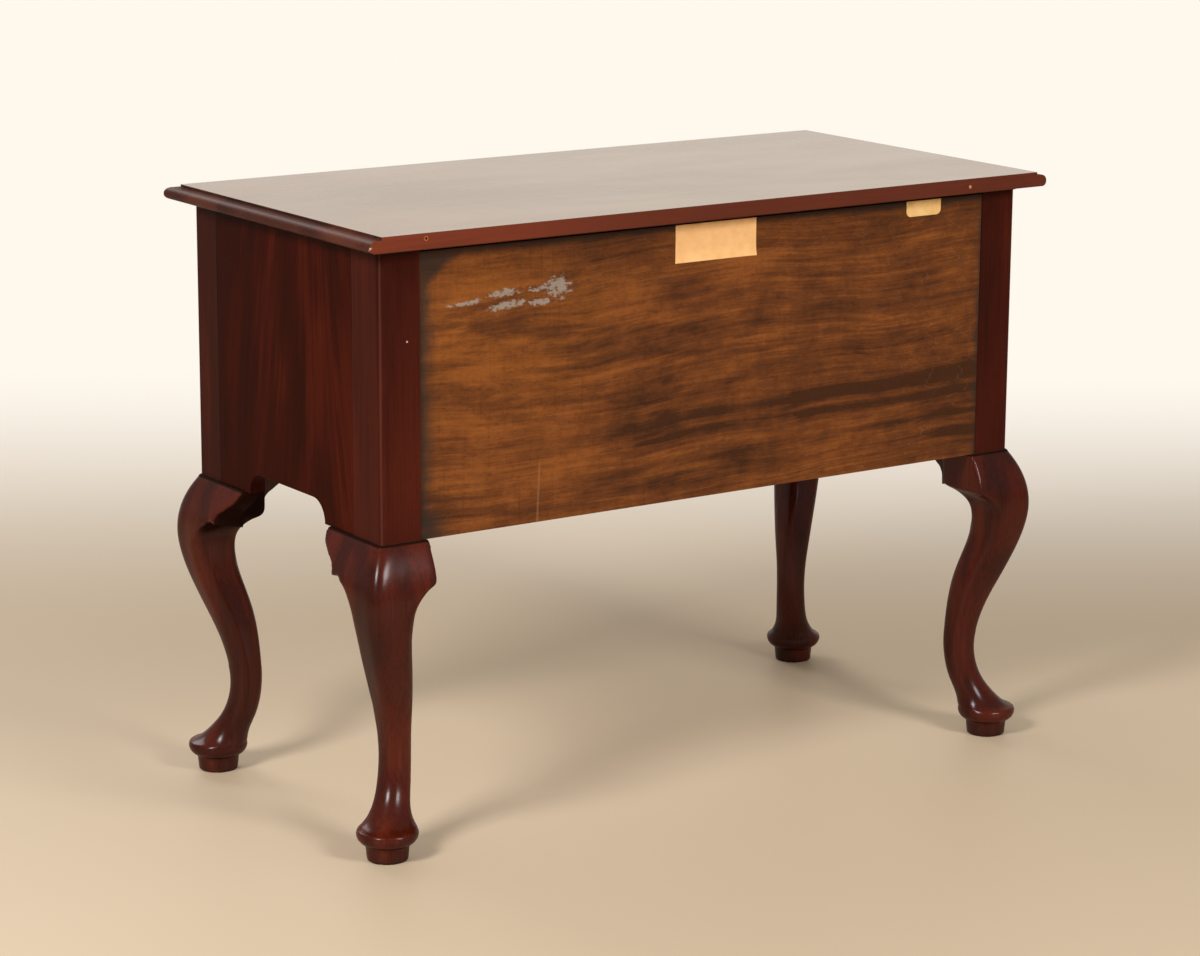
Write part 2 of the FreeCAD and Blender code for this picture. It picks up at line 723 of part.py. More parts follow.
def drawerFront(name, x0, x1, z0, z1):
    """The front before its joints are cut: a lipped, moulded face with the thicker board behind."""
    body = newBody(name)
    face = sketchOn(body, "XZ_Plane", "caseDepth / 2 + lipPlay")
    outline(face, rectangle(f"{x0} - lipOverlap", f"{z0} - lipOverlap",
                            f"{x1} + lipOverlap", f"{z1} + lipOverlap"))
    lip = feature(body, "Pad", face, "lipThickness")
    doc.recompute()
    frontFace = max(range(len(lip.Shape.Faces)), key=lambda k: -lip.Shape.Faces[k].CenterOfMass.y)
    edge = body.newObject("PartDesign::Fillet", name + "Edge")
    edge.Base = (lip, [f"Face{frontFace + 1}"])
    bind(edge, "Radius", "lipRounding")
    field = sketchOn(body, "XZ_Plane", "caseDepth / 2 + lipPlay + lipThickness")
    margin = "fieldInset - lipOverlap"
    outline(field, rectangle(f"{x0} + {margin}", f"{z0} + {margin}",
                             f"{x1} - ({margin})", f"{z1} - ({margin})"))
    feature(body, "Pad", field, "fieldRise")
    board = sketchOn(body, "XZ_Plane", "caseDepth / 2 + lipPlay")
    outline(board, rectangle(f"{x0} + drawerSidePlay", f"{z0} + drawerRunPlay",
                             f"{x1} - drawerSidePlay", f"{z1} - drawerTopPlay"))
    feature(body, "Pad", board, "frontThickness + lipPlay", Reversed=True)
    return body


def drawer(label, x0, x1, z0, z1, tails, pulls):
    name = label.title().replace("_", "")
    low, high = f"({z0} + drawerRunPlay)", f"({z1} - drawerTopPlay)"
    left, right = f"({x0} + drawerSidePlay)", f"({x1} - drawerSidePlay)"
    rightSide = drawerSide(name + "Side", right, low, high, tails)
    leftSide = mirrored(name + "LeftSide", rightSide, (1, 0, 0), (f"({x0} + {x1}) / 2", "0", "0"))
    under = f"({low} + bottomHeight)"
    over = f"({under} + bottomThickness)"
    room = "boardThickness - grooveDepth"
    groove = box(name + "Groove", (f"{left} + {room}", f"{boxFront} - grooveDepth", under),
                 (f"{right} - ({room})", f"{boxRear} + 1", f"{over} + jointPlay"))
    both = group(name + "BothSides", [rightSide, leftSide])
    bolts = [rod(f"{name}BoltHole{k}", (x, f"{boxFront} + 1", z), "boltRadius + boltPlay", "60", (0, -1, 0))
             for k, (x, z) in enumerate(boltPlaces(pulls))]
    front = drawerFront(name + "Front", x0, x1, z0, z1)
    keep(cutFrom(name + "FrontCut", front, [both, groove] + bolts), label + "_front")
    keep(cutFrom(name + "SidesCut", both, [groove]), label + "_sides")
    back = box(name + "BackBoard", (left, f"{boxRear} - boardThickness", f"{over} + jointPlay"),
               (right, boxRear, f"{high} - backDrop"))
    keep(cutFrom(name + "Back", back, [both]), label + "_back")
    bottomLeft, bottomRight = f"{left} + {room} + jointPlay", f"{right} - ({room}) - jointPlay"
    keep(box(name + "Bottom", (bottomLeft, f"{boxFront} - grooveDepth + jointPlay", under),
             (bottomRight, boxRear, over)), label + "_bottom")
    plates = [pullPlate(f"{name}Plate{k}", x, z) for k, (x, z) in enumerate(pulls)]
    keep(group(name + "Plates", plates), label + "_pull_plates")
    posts = [pullPost(f"{name}Post{k}", x, z) for k, (x, z) in enumerate(boltPlaces(pulls))]
    keep(group(name + "Posts", posts), label + "_pull_posts")
    for k, (x, z) in enumerate(pulls):
        side = ("left_", "right_")[k] if len(pulls) == 2 else ""
        keep(bail(f"{name}Bail{k}", x, z), f"{label}_{side}bail")


# Brass pulls

def boltPlaces(pulls):
    return [(f"{x} {sign} postSpacing / 2", z) for x, z in pulls for sign in "-+"]


def pullPlate(name, x, z):
    """A plate with a batwing outline, and a hole for each bolt."""
    body = newBody(name, x, plateFace, z)
    sketch = sketchOn(body, "XZ_Plane")
    half = [("plateWaist", "-plateCuspDrop", "plateLobeRadius"),
            ("plateHalfWidth", "-plateWing", "plateTipRadius"),
            ("plateHalfWidth", "plateWing", "-plateHollowRadius"),
            ("plateWaist", "plateShoulder", "-plateHollowRadius")]
    points = [("0", "-plateDrop", "-plateHollowRadius")] + half + [("0", "plateRise")]
    outline(sketch, points[:-1] + flipped([(f"-({p[0]})",) + p[1:] for p in points])[:-1])
    feature(body, "Pad", sketch, "plateThickness")
    for sign in "-+":
        hole = body.newObject("PartDesign::SubtractiveCylinder", name + "Hole")
        bind(hole, "Radius", "boltRadius + boltPlay")
        bind(hole, "Height", "3 * plateThickness")
        hole.Placement.Rotation = FreeCAD.Rotation(FreeCAD.Vector(1, 0, 0), 90)
        place(hole, f"{sign} postSpacing / 2", "plateThickness", "0")
    return body


def pullPost(name, x, z):
    """A turned post: collar, neck and ball outside, the bolt through the front, and its nut."""
    body = newBody(name, x, plateFace, z)
    sketch = sketchOn(body, "YZ_Plane")
    collar = "-plateThickness"
    inside = f"({boxFront} - {plateFace})"
    ballBack = "(-ballStand + sqrt(ballRadius ^ 2 - neckRadius ^ 2))"
    ballFront = "(-ballStand - sqrt(ballRadius ^ 2 - ballFlat ^ 2))"
    outline(sketch, [(ballFront, "ballFlat"), (ballFront, "0"), (f"{inside} + nutThickness", "0"),
                     (f"{inside} + nutThickness", "nutRadius"),
                     (inside, "nutRadius"), (inside, "boltRadius"),
                     (collar, "boltRadius"), (collar, "collarRadius"),
                     (f"{collar} - collarThickness / 2", "collarRadius"),
                     (f"{collar} - collarThickness", "neckRadius"), (ballBack, "neckRadius", "ballRadius")])
    feature(body, "Revolution", sketch, ReferenceAxis=(sketch, ["H_Axis"]), Angle=360)
    hole = body.newObject("PartDesign::SubtractiveCylinder", name + "Eye")
    bind(hole, "Radius", "bailRadius + bailPlay")
    bind(hole, "Height", "4 * ballRadius")
    hole.Placement.Rotation = FreeCAD.Rotation(FreeCAD.Vector(0, 1, 0), 90)
    place(hole, "-2 * ballRadius", "-ballStand", "0")
    return body


def bail(name, x, z):
    """The swinging handle: a rod bent down at each post and across at the bottom."""
    body = newBody(name, x, pivotY, z)
    path = sketchOn(body, "XZ_Plane")
    start = "(postSpacing / 2 - bailPinInside)"
    outer = "(postSpacing / 2 + bailPinOutside)"
    points = [(start, "0"), (f"({outer} - bailBend)", "0", "-bailBend"), (outer, "-bailBend"),
              (outer, "-(bailDrop - bailCorner)", "-bailCorner"), (f"({outer} - bailCorner)", "-bailDrop")]
    outline(path, points + flipped([(f"-{p[0]}",) + p[1:] for p in points]), closed=False)
    section = sketchOn(body, "YZ_Plane", start)
    section.addGeometry(Part.Circle(FreeCAD.Vector(0, 0, 0), FreeCAD.Vector(0, 0, 1), value("bailRadius")))
    section.addConstraint(Sketcher.Constraint("Coincident", 0, 3, -1, 1))
    section.addConstraint(Sketcher.Constraint("Radius", 0, value("bailRadius")))
    bind(section, "Constraints[1]", "bailRadius")
    pipe = body.newObject("PartDesign::AdditivePipe", name + "Pipe")
    pipe.Profile = section
    pipe.Spine = (path, [])
    return body


def middle(low, high):
    return f"(({low} + {high}) / 2)"


sidePull = f"(({openX} + {dividerX}) / 2)"
longMiddle = middle(longLow, longTop)
sideMiddle = middle(sideLow, shortTop)
drawer("long_drawer", f"(-{openX})", openX, longLow, longTop, 3,
       [(f"(-{sidePull})", longMiddle), (sidePull, longMiddle)])
drawer("left_drawer", f"(-{openX})", f"(-{dividerX})", sideLow, shortTop, 4, [(f"(-{sidePull})", sideMiddle)])
drawer("centre_drawer", f"(-{centreX})", centreX, centreLow, shortTop, 3,
       [("0", middle(centreLow, shortTop))])
drawer("right_drawer", dividerX, openX, sideLow, shortTop, 4, [(sidePull, sideMiddle)])


# The two papers on the back

panelTop = f"({caseTop} - backPanelTopGap)"
keep(box("PaperLabel", ("labelPlace - labelWidth / 2", panelBack, f"{panelTop} - labelDrop"),
         ("labelPlace + labelWidth / 2", f"{panelBack} + labelThickness", panelTop)), "paper_label")
tag = newBody("CardTag", f"tagInset - {openX}", panelBack, panelTop)
tagSketch = sketchOn(tag, "XZ_Plane")
outline(tagSketch, [("-tagWidth / 2", "0"), ("-tagWidth / 2", "-tagDrop + tagRounding", "tagRounding"),
                    ("-tagWidth / 2 + tagRounding", "-tagDrop"),
                    ("tagWidth / 2 - tagRounding", "-tagDrop", "tagRounding"),
                    ("tagWidth / 2", "-tagDrop + tagRounding"), ("tagWidth / 2", "0")])
feature(tag, "Pad", tagSketch, "tagThickness", Reversed=True)
keep(tag, "card_tag")

doc.recompute()
for thing in doc.Objects:
    if {"Invalid", "Error"} & set(thing.State):
        raise SystemExit(f"{thing.Name} did not compute")
os.makedirs("parts", exist_ok=True)
for label, thing in nodes.items():
    if thing.Shape.isNull() or not thing.Shape.isValid():
        raise SystemExit(f"{label} has no valid shape")
    thing.Shape.exportStep(f"parts/{label}.step")
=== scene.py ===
import math
import bpy
from mathutils import Matrix, Vector


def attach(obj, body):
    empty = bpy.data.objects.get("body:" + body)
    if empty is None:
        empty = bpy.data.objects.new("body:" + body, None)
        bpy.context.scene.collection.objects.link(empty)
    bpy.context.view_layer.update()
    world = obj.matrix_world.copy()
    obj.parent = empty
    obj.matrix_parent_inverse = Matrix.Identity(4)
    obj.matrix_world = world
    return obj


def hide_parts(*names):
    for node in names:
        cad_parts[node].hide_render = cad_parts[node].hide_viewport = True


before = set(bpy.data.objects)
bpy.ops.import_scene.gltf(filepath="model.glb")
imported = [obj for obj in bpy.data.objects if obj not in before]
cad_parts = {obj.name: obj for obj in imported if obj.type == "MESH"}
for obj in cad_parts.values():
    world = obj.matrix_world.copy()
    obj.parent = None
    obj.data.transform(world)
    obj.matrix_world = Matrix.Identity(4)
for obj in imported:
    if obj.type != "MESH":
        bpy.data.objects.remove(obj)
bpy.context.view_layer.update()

bpy.ops.object.select_all(action="DESELECT")
print("frame loaded")


# small helpers for shader nodes
def put(tree, kind, values=(), links=(), **settings):
    made = tree.nodes.new(kind)
    for key, setting in settings.items():
        setattr(made, key, setting)
    for key, number in dict(values).items():
        made.inputs[key].default_value = number
    for key, source in dict(links).items():
        tree.links.new(source, made.inputs[key])
    return made


def noise(tree, vector, scale, detail=2.0, roughness=0.5, distortion=0.0):
    values = {"Scale": scale, "Detail": detail, "Roughness": roughness, "Distortion": distortion}
    return put(tree, "ShaderNodeTexNoise", values, {"Vector": vector}).outputs["Fac"]


def times(tree, vector, x, y, z):
    return put(tree, "ShaderNodeVectorMath", {1: (x, y, z)}, {0: vector}, operation="MULTIPLY").outputs[0]


def split(tree, vector):
    return put(tree, "ShaderNodeSeparateXYZ", links={"Vector": vector}).outputs


def faceNormal(tree):
    return tree.nodes.new("ShaderNodeNewGeometry").outputs["Normal"]


# how far a vector goes in one direction
def towards(tree, vector, direction):
    made = put(tree, "ShaderNodeVectorMath", {1: direction}, {0: vector}, operation="DOT_PRODUCT")
    return made.outputs["Value"]


def calc(tree, operation, a, b=0.0, c=0.0):
    made = put(tree, "ShaderNodeMath", operation=operation)
    for socket, part in zip(made.inputs, (a, b, c)):
        if isinstance(part, (int, float)):
            socket.default_value = part
        else:
            tree.links.new(part, socket)
    return made.outputs[0]


def product(tree, first, *others):
    for other in others:
        first = calc(tree, "MULTIPLY", first, other)
    return first


def highest(tree, first, *others):
    for other in others:
        first = calc(tree, "MAXIMUM", first, other)
    return first


def distance(tree, number, centre):
    return calc(tree, "ABSOLUTE", calc(tree, "SUBTRACT", number, centre))


# 0 to 1, or one value to another, as the source goes from low to high
def between(tree, source, low, high, toLow=0.0, toHigh=1.0, smooth=True):
    values = {"From Min": low, "From Max": high, "To Min": toLow, "To Max": toHigh}
    made = put(tree, "ShaderNodeMapRange", values, {"Value": source},
               interpolation_type="SMOOTHSTEP" if smooth else "LINEAR")
    return made.outputs[0]


def blendColour(tree, amount, a, b, mode="MIX"):
    made = put(tree, "ShaderNodeMix", data_type="RGBA", blend_type=mode)
    for socket, part in zip((made.inputs[0], made.inputs[6], made.inputs[7]), (amount, a, b)):
        if isinstance(part, (int, float)):
            socket.default_value = part
        elif isinstance(part, tuple):
            socket.default_value = part + (1.0,)
        else:
            tree.links.new(part, socket)
    return made.outputs[2]


def makeRamp(tree, amount, stops):
    ramp = put(tree, "ShaderNodeValToRGB", links={"Fac": amount})
    ends = ramp.color_ramp.elements
    for stop, (position, colour) in zip(ends, (stops[0], stops[-1])):
        stop.position, stop.color = position, colour + (1.0,)
    for position, colour in stops[1:-1]:
        ends.new(position).color = colour + (1.0,)
    return ramp.outputs[0]


def newGroup(name, inputs, outputs):
    group = bpy.data.node_groups.new(name, "ShaderNodeTree")
    for label, kind, number in inputs:
        socket = group.interface.new_socket(label, in_out="INPUT", socket_type="NodeSocket" + kind)
        if number is not None:
            socket.default_value = number
    for label, kind in outputs:
        group.interface.new_socket(label, in_out="OUTPUT", socket_type="NodeSocket" + kind)
    return group, group.nodes.new("NodeGroupInput").outputs, group.nodes.new("NodeGroupOutput").inputs


def useGroup(tree, group, values=(), links=()):
    return put(tree, "ShaderNodeGroup", values, links, node_tree=group).outputs


# grain that runs along X of the vector
def makeGrainGroup():
    group, given, result = newGroup(
        "boardGrain",
        (("Vector", "Vector", None), ("Figure Scale", "Float", 8.0), ("Stretch", "Float", 5.0),
         ("Lines", "Float", 5.0), ("Wander", "Float", 0.6)),
        (("Figure", "Float"), ("Fibre", "Float"), ("Pore", "Float"), ("Cloud", "Float")))
    vector = given["Vector"]
    squeeze = put(group, "ShaderNodeCombineXYZ", {"Y": 1.0, "Z": 1.0},
                  {"X": calc(group, "DIVIDE", 1.0, given["Stretch"])}).outputs[0]
    drawnOut = put(group, "ShaderNodeVectorMath", {}, {0: vector, 1: squeeze}, operation="MULTIPLY")
    field = put(group, "ShaderNodeTexNoise", {"Detail": 2.5, "Roughness": 0.45},
                {"Vector": drawnOut.outputs[0], "Scale": given["Figure Scale"]}).outputs["Fac"]
    wobble = noise(group, times(group, vector, 0.12, 1.0, 1.0), scale=70.0)
    phase = calc(group, "MULTIPLY_ADD", field, given["Lines"], product(group, wobble, given["Wander"]))
    figure = calc(group, "SINE", product(group, phase, 2.0 * math.pi))
    fibre = noise(group, times(group, vector, 0.018, 1.0, 1.0), scale=420.0, detail=3.0, roughness=0.6)
    pores = noise(group, times(group, vector, 0.06, 1.0, 1.0), scale=1500.0, detail=1.0)
    cloud = noise(group, times(group, vector, 0.45, 1.0, 1.0), scale=6.0, detail=4.0, roughness=0.55)
    group.links.new(between(group, figure, -1.0, 1.0), result["Figure"])
    group.links.new(fibre, result["Fibre"])
    group.links.new(between(group, pores, 0.6, 0.72), result["Pore"])
    group.links.new(cloud, result["Cloud"])
    return group


# a rounded normal, and a mask where the surface turns sharply
def makeEdgeGroup():
    group, given, result = newGroup("softEdge", (("Radius", "Float", 0.001),),
                                    (("Normal", "Vector"), ("Edge", "Float")))
    rounded = put(group, "ShaderNodeBevel", links={"Radius": given["Radius"]}, samples=6).outputs[0]
    facing = put(group, "ShaderNodeVectorMath", {}, {0: rounded, 1: faceNormal(group)},
                 operation="DOT_PRODUCT")
    group.links.new(rounded, result["Normal"])
    group.links.new(between(group, facing.outputs["Value"], 0.97, 0.8), result["Edge"])
    return group


# painted shade where pieces meet: the colour darkens in the hollows that ambient occlusion finds
def makeCornerShadeGroup():
    group, given, result = newGroup("cornerShade", (("Vector", "Vector", None), ("Reach", "Float", 0.02)),
                                    (("Corner", "Float"),))
    reached = put(group, "ShaderNodeAmbientOcclusion", links={"Distance": given["Reach"]}, samples=6)
    hollow = between(group, reached.outputs["AO"], 0.85, 0.35)
    uneven = between(group, noise(group, given["Vector"], scale=60.0, detail=3.0), 0.3, 0.6)
    group.links.new(product(group, hollow, uneven), result["Corner"])
    return group


grainGroup = makeGrainGroup()
edgeGroup = makeEdgeGroup()
cornerShadeGroup = makeCornerShadeGroup()
print("shared effects ready")


def newMaterial(name):
    material = bpy.data.materials.new(name)
    material.use_nodes = True
    tree = material.node_tree
    return material, tree, tree.nodes["Principled BSDF"]


def objectPlace(tree):
    return tree.nodes.new("ShaderNodeTexCoord").outputs["Object"]


# the turn that lays the grain along each axis
turns = {"X": (0.0, 0.0, 0.0), "Y": (0.0, 0.0, math.radians(90)), "Z": (0.0, math.radians(90), 0.0)}


# a small round mark, with a soft rim
def spotMask(tree, place, centre, reach):
    away = put(tree, "ShaderNodeVectorMath", {1: centre}, {0: place}, operation="DISTANCE").outputs["Value"]
    return between(tree, away, reach, reach * 0.6)


# the lines of a side panel open out downwards, as flame figure does
def openOut(tree, place, flame):
    apart = split(tree, place)
    across = calc(tree, "SUBTRACT", apart["Y"], flame["centre"])
    spread = product(tree, calc(tree, "SUBTRACT", apart["Z"], flame["level"]), flame["opening"],
                     between(tree, calc(tree, "ABSOLUTE", across), flame["width"], 0.0))
    across = product(tree, across, calc(tree, "ADD", 1.0, spread))
    return put(tree, "ShaderNodeCombineXYZ", links={"X": apart["X"], "Y": across, "Z": apart["Z"]}).outputs[0]


# a soft painted highlight down the outer edge of a post
def paintedHighlightLineMask(tree, apart, line):
    offX = distance(tree, calc(tree, "ABSOLUTE", apart["X"]), line["x"])
    offY = distance(tree, calc(tree, "ABSOLUTE", apart["Y"]), line["y"])
    return product(tree, between(tree, highest(tree, offX, offY), line["reach"], 0.0), line["share"])


# a dark line where a panel meets the front post
def jointMask(tree, apart, joint):
    off = distance(tree, apart["Y"], joint["y"])
    return product(tree, between(tree, off, joint["half"], joint["half"] * 0.4), joint["share"])


# painted shade on the thin ledge where a knee meets the chest, and on the knee blocks' ends that face the
# middle of the chest
def paintedShadeMask(tree, apart, dull):
    ledge = between(tree, apart["Z"], dull["ledge"] - dull["ledgeThick"], dull["ledge"])
    toMiddle = calc(tree, "SIGN", product(tree, apart["Y"], -1.0))
    inward = product(tree, split(tree, faceNormal(tree))["Y"], toMiddle)
    high = between(tree, apart["Z"], dull["endFrom"], dull["endTo"])
    deep = between(tree, calc(tree, "ABSOLUTE", apart["Y"]), dull["outer"], dull["inner"])
    return highest(tree, ledge, product(tree, between(tree, inward, 0.2, 0.55), high, deep))


# the level field of the top board, inside its moulding
def fieldMask(tree, apart, field):
    upward = between(tree, split(tree, faceNormal(tree))["Z"], 0.9, 0.99)
    return product(tree, upward, between(tree, apart["Z"], field["from"], field["to"]))


# the sawn back edge of the top board is redder, and more so towards one end
def dressBackEdge(tree, apart, colour, tone, edge):
    backward = between(tree, split(tree, faceNormal(tree))["Y"], 0.8, 0.95)
    rim = product(tree, backward, between(tree, apart["Z"], edge["from"], edge["to"]))
    shade = blendColour(tree, between(tree, apart["X"], 0.0, edge["end"]), edge["far"], edge["near"])
    shade = blendColour(tree, between(tree, tone, 0.4, 0.62), shade, edge["streak"])
    return blendColour(tree, rim, colour, shade)


# clouds, figure and fibre set the depth of the stain, and the pores hold more of it
def stainColour(tree, look, grain):
    tone = product(tree, grain["Cloud"], look["cloudShare"])
    tone = calc(tree, "MULTIPLY_ADD", grain["Figure"], look["figureShare"], tone)
    tone = calc(tree, "MULTIPLY_ADD", grain["Fibre"], look["fibreShare"], tone)
    middle = (look["from"] + look["to"]) / 2
    stops = ((look["from"], look["dark"]), (middle, look["mid"]), (look["to"], look["light"]))
    pores = product(tree, grain["Pore"], look["pores"])
    return tone, blendColour(tree, pores, makeRamp(tree, tone, stops), look["poreShade"], "MULTIPLY")


# lines and small marks that only some of the woods have; the line down a post's edge is a painted highlight
def addMarks(tree, look, place, apart, colour):
    if "highlightLine" in look:
        colour = blendColour(tree, paintedHighlightLineMask(tree, apart, look["highlightLine"]), colour, look["wearAndHighlight"])
    if "joint" in look:
        colour = blendColour(tree, jointMask(tree, apart, look["joint"]), colour, look["shadeAndJointColour"])
    for centre, reach, mark in look.get("marks", ()):
        colour = blendColour(tree, spotMask(tree, place, centre, reach), colour, mark)
    return colour


def makeWood(name, look):
    material, tree, shader = newMaterial(name)
    place = objectPlace(tree)
    apart = split(tree, place)
    figurePlace = openOut(tree, place, look["flame"]) if "flame" in look else place
    vector = put(tree, "ShaderNodeMapping", {"Rotation": turns[look["along"]]},
                 {"Vector": figurePlace}).outputs[0]
    grain = useGroup(tree, grainGroup, {"Figure Scale": look["figure"], "Stretch": look["stretch"],
                                        "Lines": look["lines"], "Wander": look["wander"]}, {"Vector": vector})
    edge = useGroup(tree, edgeGroup, {"Radius": look["edgeRadius"]})
    cornerShade = useGroup(tree, cornerShadeGroup, {"Reach": look["cornerShadeReach"]}, {"Vector": vector})
    tone, colour = stainColour(tree, look, grain)
    if "backEdge" in look:
        colour = dressBackEdge(tree, apart, colour, tone, look["backEdge"])
    # painted shade in corners and where pieces meet
    colour = blendColour(tree, product(tree, cornerShade["Corner"], look["cornerShade"]), colour, look["shadeAndJointColour"])
    colour = blendColour(tree, product(tree, edge["Edge"], look["wear"]), colour, look["wearAndHighlight"])
    colour = addMarks(tree, look, place, apart, colour)
    rough = calc(tree, "MULTIPLY_ADD", grain["Cloud"], look["roughShift"], look["rough"])
    shader.inputs["Coat Weight"].default_value = look["coat"]
    # painted shade on the knee ledge and the block ends, which also lose most of their coat
    if "dull" in look:
        dull = paintedShadeMask(tree, apart, look["dull"])
        shade = product(tree, dull, look["dull"]["shade"])
        colour = blendColour(tree, shade, colour, look["shadeAndJointColour"])
        coat = between(tree, dull, 0.0, 1.0, look["coat"], look["dull"]["coat"], smooth=False)
        tree.links.new(coat, shader.inputs["Coat Weight"])
    if "field" in look:
        field = fieldMask(tree, apart, look["field"])
        rim = calc(tree, "SUBTRACT", 1.0, field)
        rough = calc(tree, "MULTIPLY_ADD", rim, look["field"]["rimRough"], rough)
        coat = between(tree, field, 0.0, 1.0, look["coat"], look["field"]["coat"], smooth=False)
        clouded = between(tree, grain["Cloud"], 0.3, 0.7, look["field"]["cloudCoat"], 1.0)
        tree.links.new(product(tree, clouded, coat), shader.inputs["Coat Weight"])
    tree.links.new(colour, shader.inputs["Base Color"])
    tree.links.new(rough, shader.inputs["Roughness"])
    height = calc(tree, "MULTIPLY_ADD", grain["Pore"], -0.6, grain["Fibre"])
    bump = put(tree, "ShaderNodeBump", {"Strength": look["bump"], "Distance": 0.0004},
               {"Height": height, "Normal": edge["Normal"]})
    tree.links.new(bump.outputs[0], shader.inputs["Normal"])
    shader.inputs["Specular IOR Level"].default_value = look["specular"]
    shader.inputs["Specular Tint"].default_value = look["specularTint"] + (1.0,)
    shader.inputs["Coat Roughness"].default_value = look["coatRough"]
    shader.inputs["Coat IOR"].default_value = look["coatIor"]
    return material


# the corner darkening and its dark colour are painted shade; the same colour also marks the dark joint line
mahogany = {
    "along": "Z", "figure": 5.0, "stretch": 7.0, "lines": 5.0, "wander": 0.5,
    "cloudShare": 0.5, "figureShare": 0.16, "fibreShare": 0.34, "from": 0.32, "to": 0.7,
    "dark": (0.030, 0.0055, 0.0030), "mid": (0.054, 0.0078, 0.0038), "light": (0.092, 0.0135, 0.0058),
    "pores": 0.5, "poreShade": (0.5, 0.45, 0.4), "cornerShade": 0.8, "cornerShadeReach": 0.02,
    "shadeAndJointColour": (0.012, 0.006, 0.004), "edgeRadius": 0.0015, "wear": 0.25, "wearAndHighlight": (0.14, 0.045, 0.024),
    "rough": 0.34, "roughShift": 0.16, "bump": 0.1, "specular": 0.2, "specularTint": (1.0, 0.6, 0.45),
    "coat": 0.07, "coatRough": 0.2, "coatIor": 1.4,
}
uprightWood = makeWood("mahogany_upright", {
    **mahogany, "dark": (0.027, 0.0054, 0.0033), "mid": (0.046, 0.0078, 0.0042),
    "light": (0.076, 0.0125, 0.0058), "specular": 0.02, "coat": 0.08, "wearAndHighlight": (0.15, 0.062, 0.050),
    # a painted highlight down the outer edge of each post, in the same colour as the edge wear
    "highlightLine": {"x": 0.480, "y": 0.226, "reach": 0.0042, "share": 0.55},
    "marks": (((0.4427, 0.226, 0.6312), 0.0016, (0.5, 0.32, 0.24)),),  # a chip in a rear post
})
panelWood = makeWood("mahogany_panel", {
    **mahogany, "figure": 7.0, "stretch": 5.0, "lines": 3.0, "cloudShare": 0.42, "figureShare": 0.24,
    "dark": (0.021, 0.0029, 0.0011), "mid": (0.039, 0.0043, 0.0015), "light": (0.072, 0.0088, 0.0029),
    "specular": 0.02, "coat": 0.02, "joint": {"y": -0.1695, "half": 0.0030, "share": 0.9},
    "flame": {"centre": 0.07, "level": 0.56, "opening": 2.6, "width": 0.26},
})
levelWood = makeWood("mahogany_level", {**mahogany, "along": "X"})
legWood = makeWood("mahogany_leg", {
    **mahogany, "figure": 9.0, "dark": (0.024, 0.0032, 0.0012), "mid": (0.052, 0.0054, 0.0015),
    "light": (0.098, 0.0125, 0.0036), "wear": 0.3, "specular": 0.0, "coat": 0.45, "coatRough": 0.22,
    "coatIor": 1.5,
    # these settings paint shade on the knee ledge and the block ends and thin their coat there
    "dull": {"ledge": 0.3896, "ledgeThick": 0.0012, "endFrom": 0.315, "endTo": 0.335, "outer": 0.200,
             "inner": 0.180, "shade": 0.9, "coat": 0.02},
})
plugPlace = (0.4327, 0.254, 0.7556)
topWood = makeWood("mahogany_top", {
    **mahogany, "along": "X", "figure": 4.0, "stretch": 9.0, "mid": (0.075, 0.019, 0.011),
    "light": (0.12, 0.034, 0.018), "specular": 0.1, "specularTint": (1.0, 0.85, 0.75), "coat": 0.02,
    "coatRough": 0.13, "coatIor": 1.8, "rough": 0.26, "roughShift": 0.08, "bump": 0.05, "wear": 0.2,
    "field": {"from": 0.7606, "to": 0.7616, "coat": 1.0, "cloudCoat": 0.86, "rimRough": 0.2},
    "backEdge": {"from": 0.7424, "to": 0.7431, "end": 0.5, "near": (0.18, 0.034, 0.014),
                 "far": (0.095, 0.02, 0.010), "streak": (0.12, 0.026, 0.012)},
    "marks": (
        (plugPlace, 0.0034, (0.42, 0.14, 0.045)),  # a plug with a dark middle
        (plugPlace, 0.0022, (0.012, 0.006, 0.004)),
        ((-0.3799, 0.254, 0.7516), 0.0026, (0.5, 0.22, 0.12)),  # a pale hole towards the other end
        ((0.507, 0.2535, 0.7500), 0.0018, (0.55, 0.36, 0.26)),  # a nick at the corner
        ((0.5075, 0.252, 0.7475), 0.0014, (0.5, 0.3, 0.22)),
    ),
})
poplar = {
    **mahogany, "along": "Y", "figure": 6.0, "lines": 7.0, "dark": (0.21, 0.125, 0.060),
    "mid": (0.36, 0.230, 0.120), "light": (0.47, 0.325, 0.185), "wearAndHighlight": (0.45, 0.32, 0.2), "specular": 0.4,
    "specularTint": (1.0, 1.0, 1.0), "coat": 0.0, "rough": 0.55, "bump": 0.25, "pores": 0.4, "cornerShade": 0.3,
}
innerWood = makeWood("poplar_inside", poplar)
innerAcross = makeWood("poplar_across", {**poplar, "along": "X"})
print("woods ready")


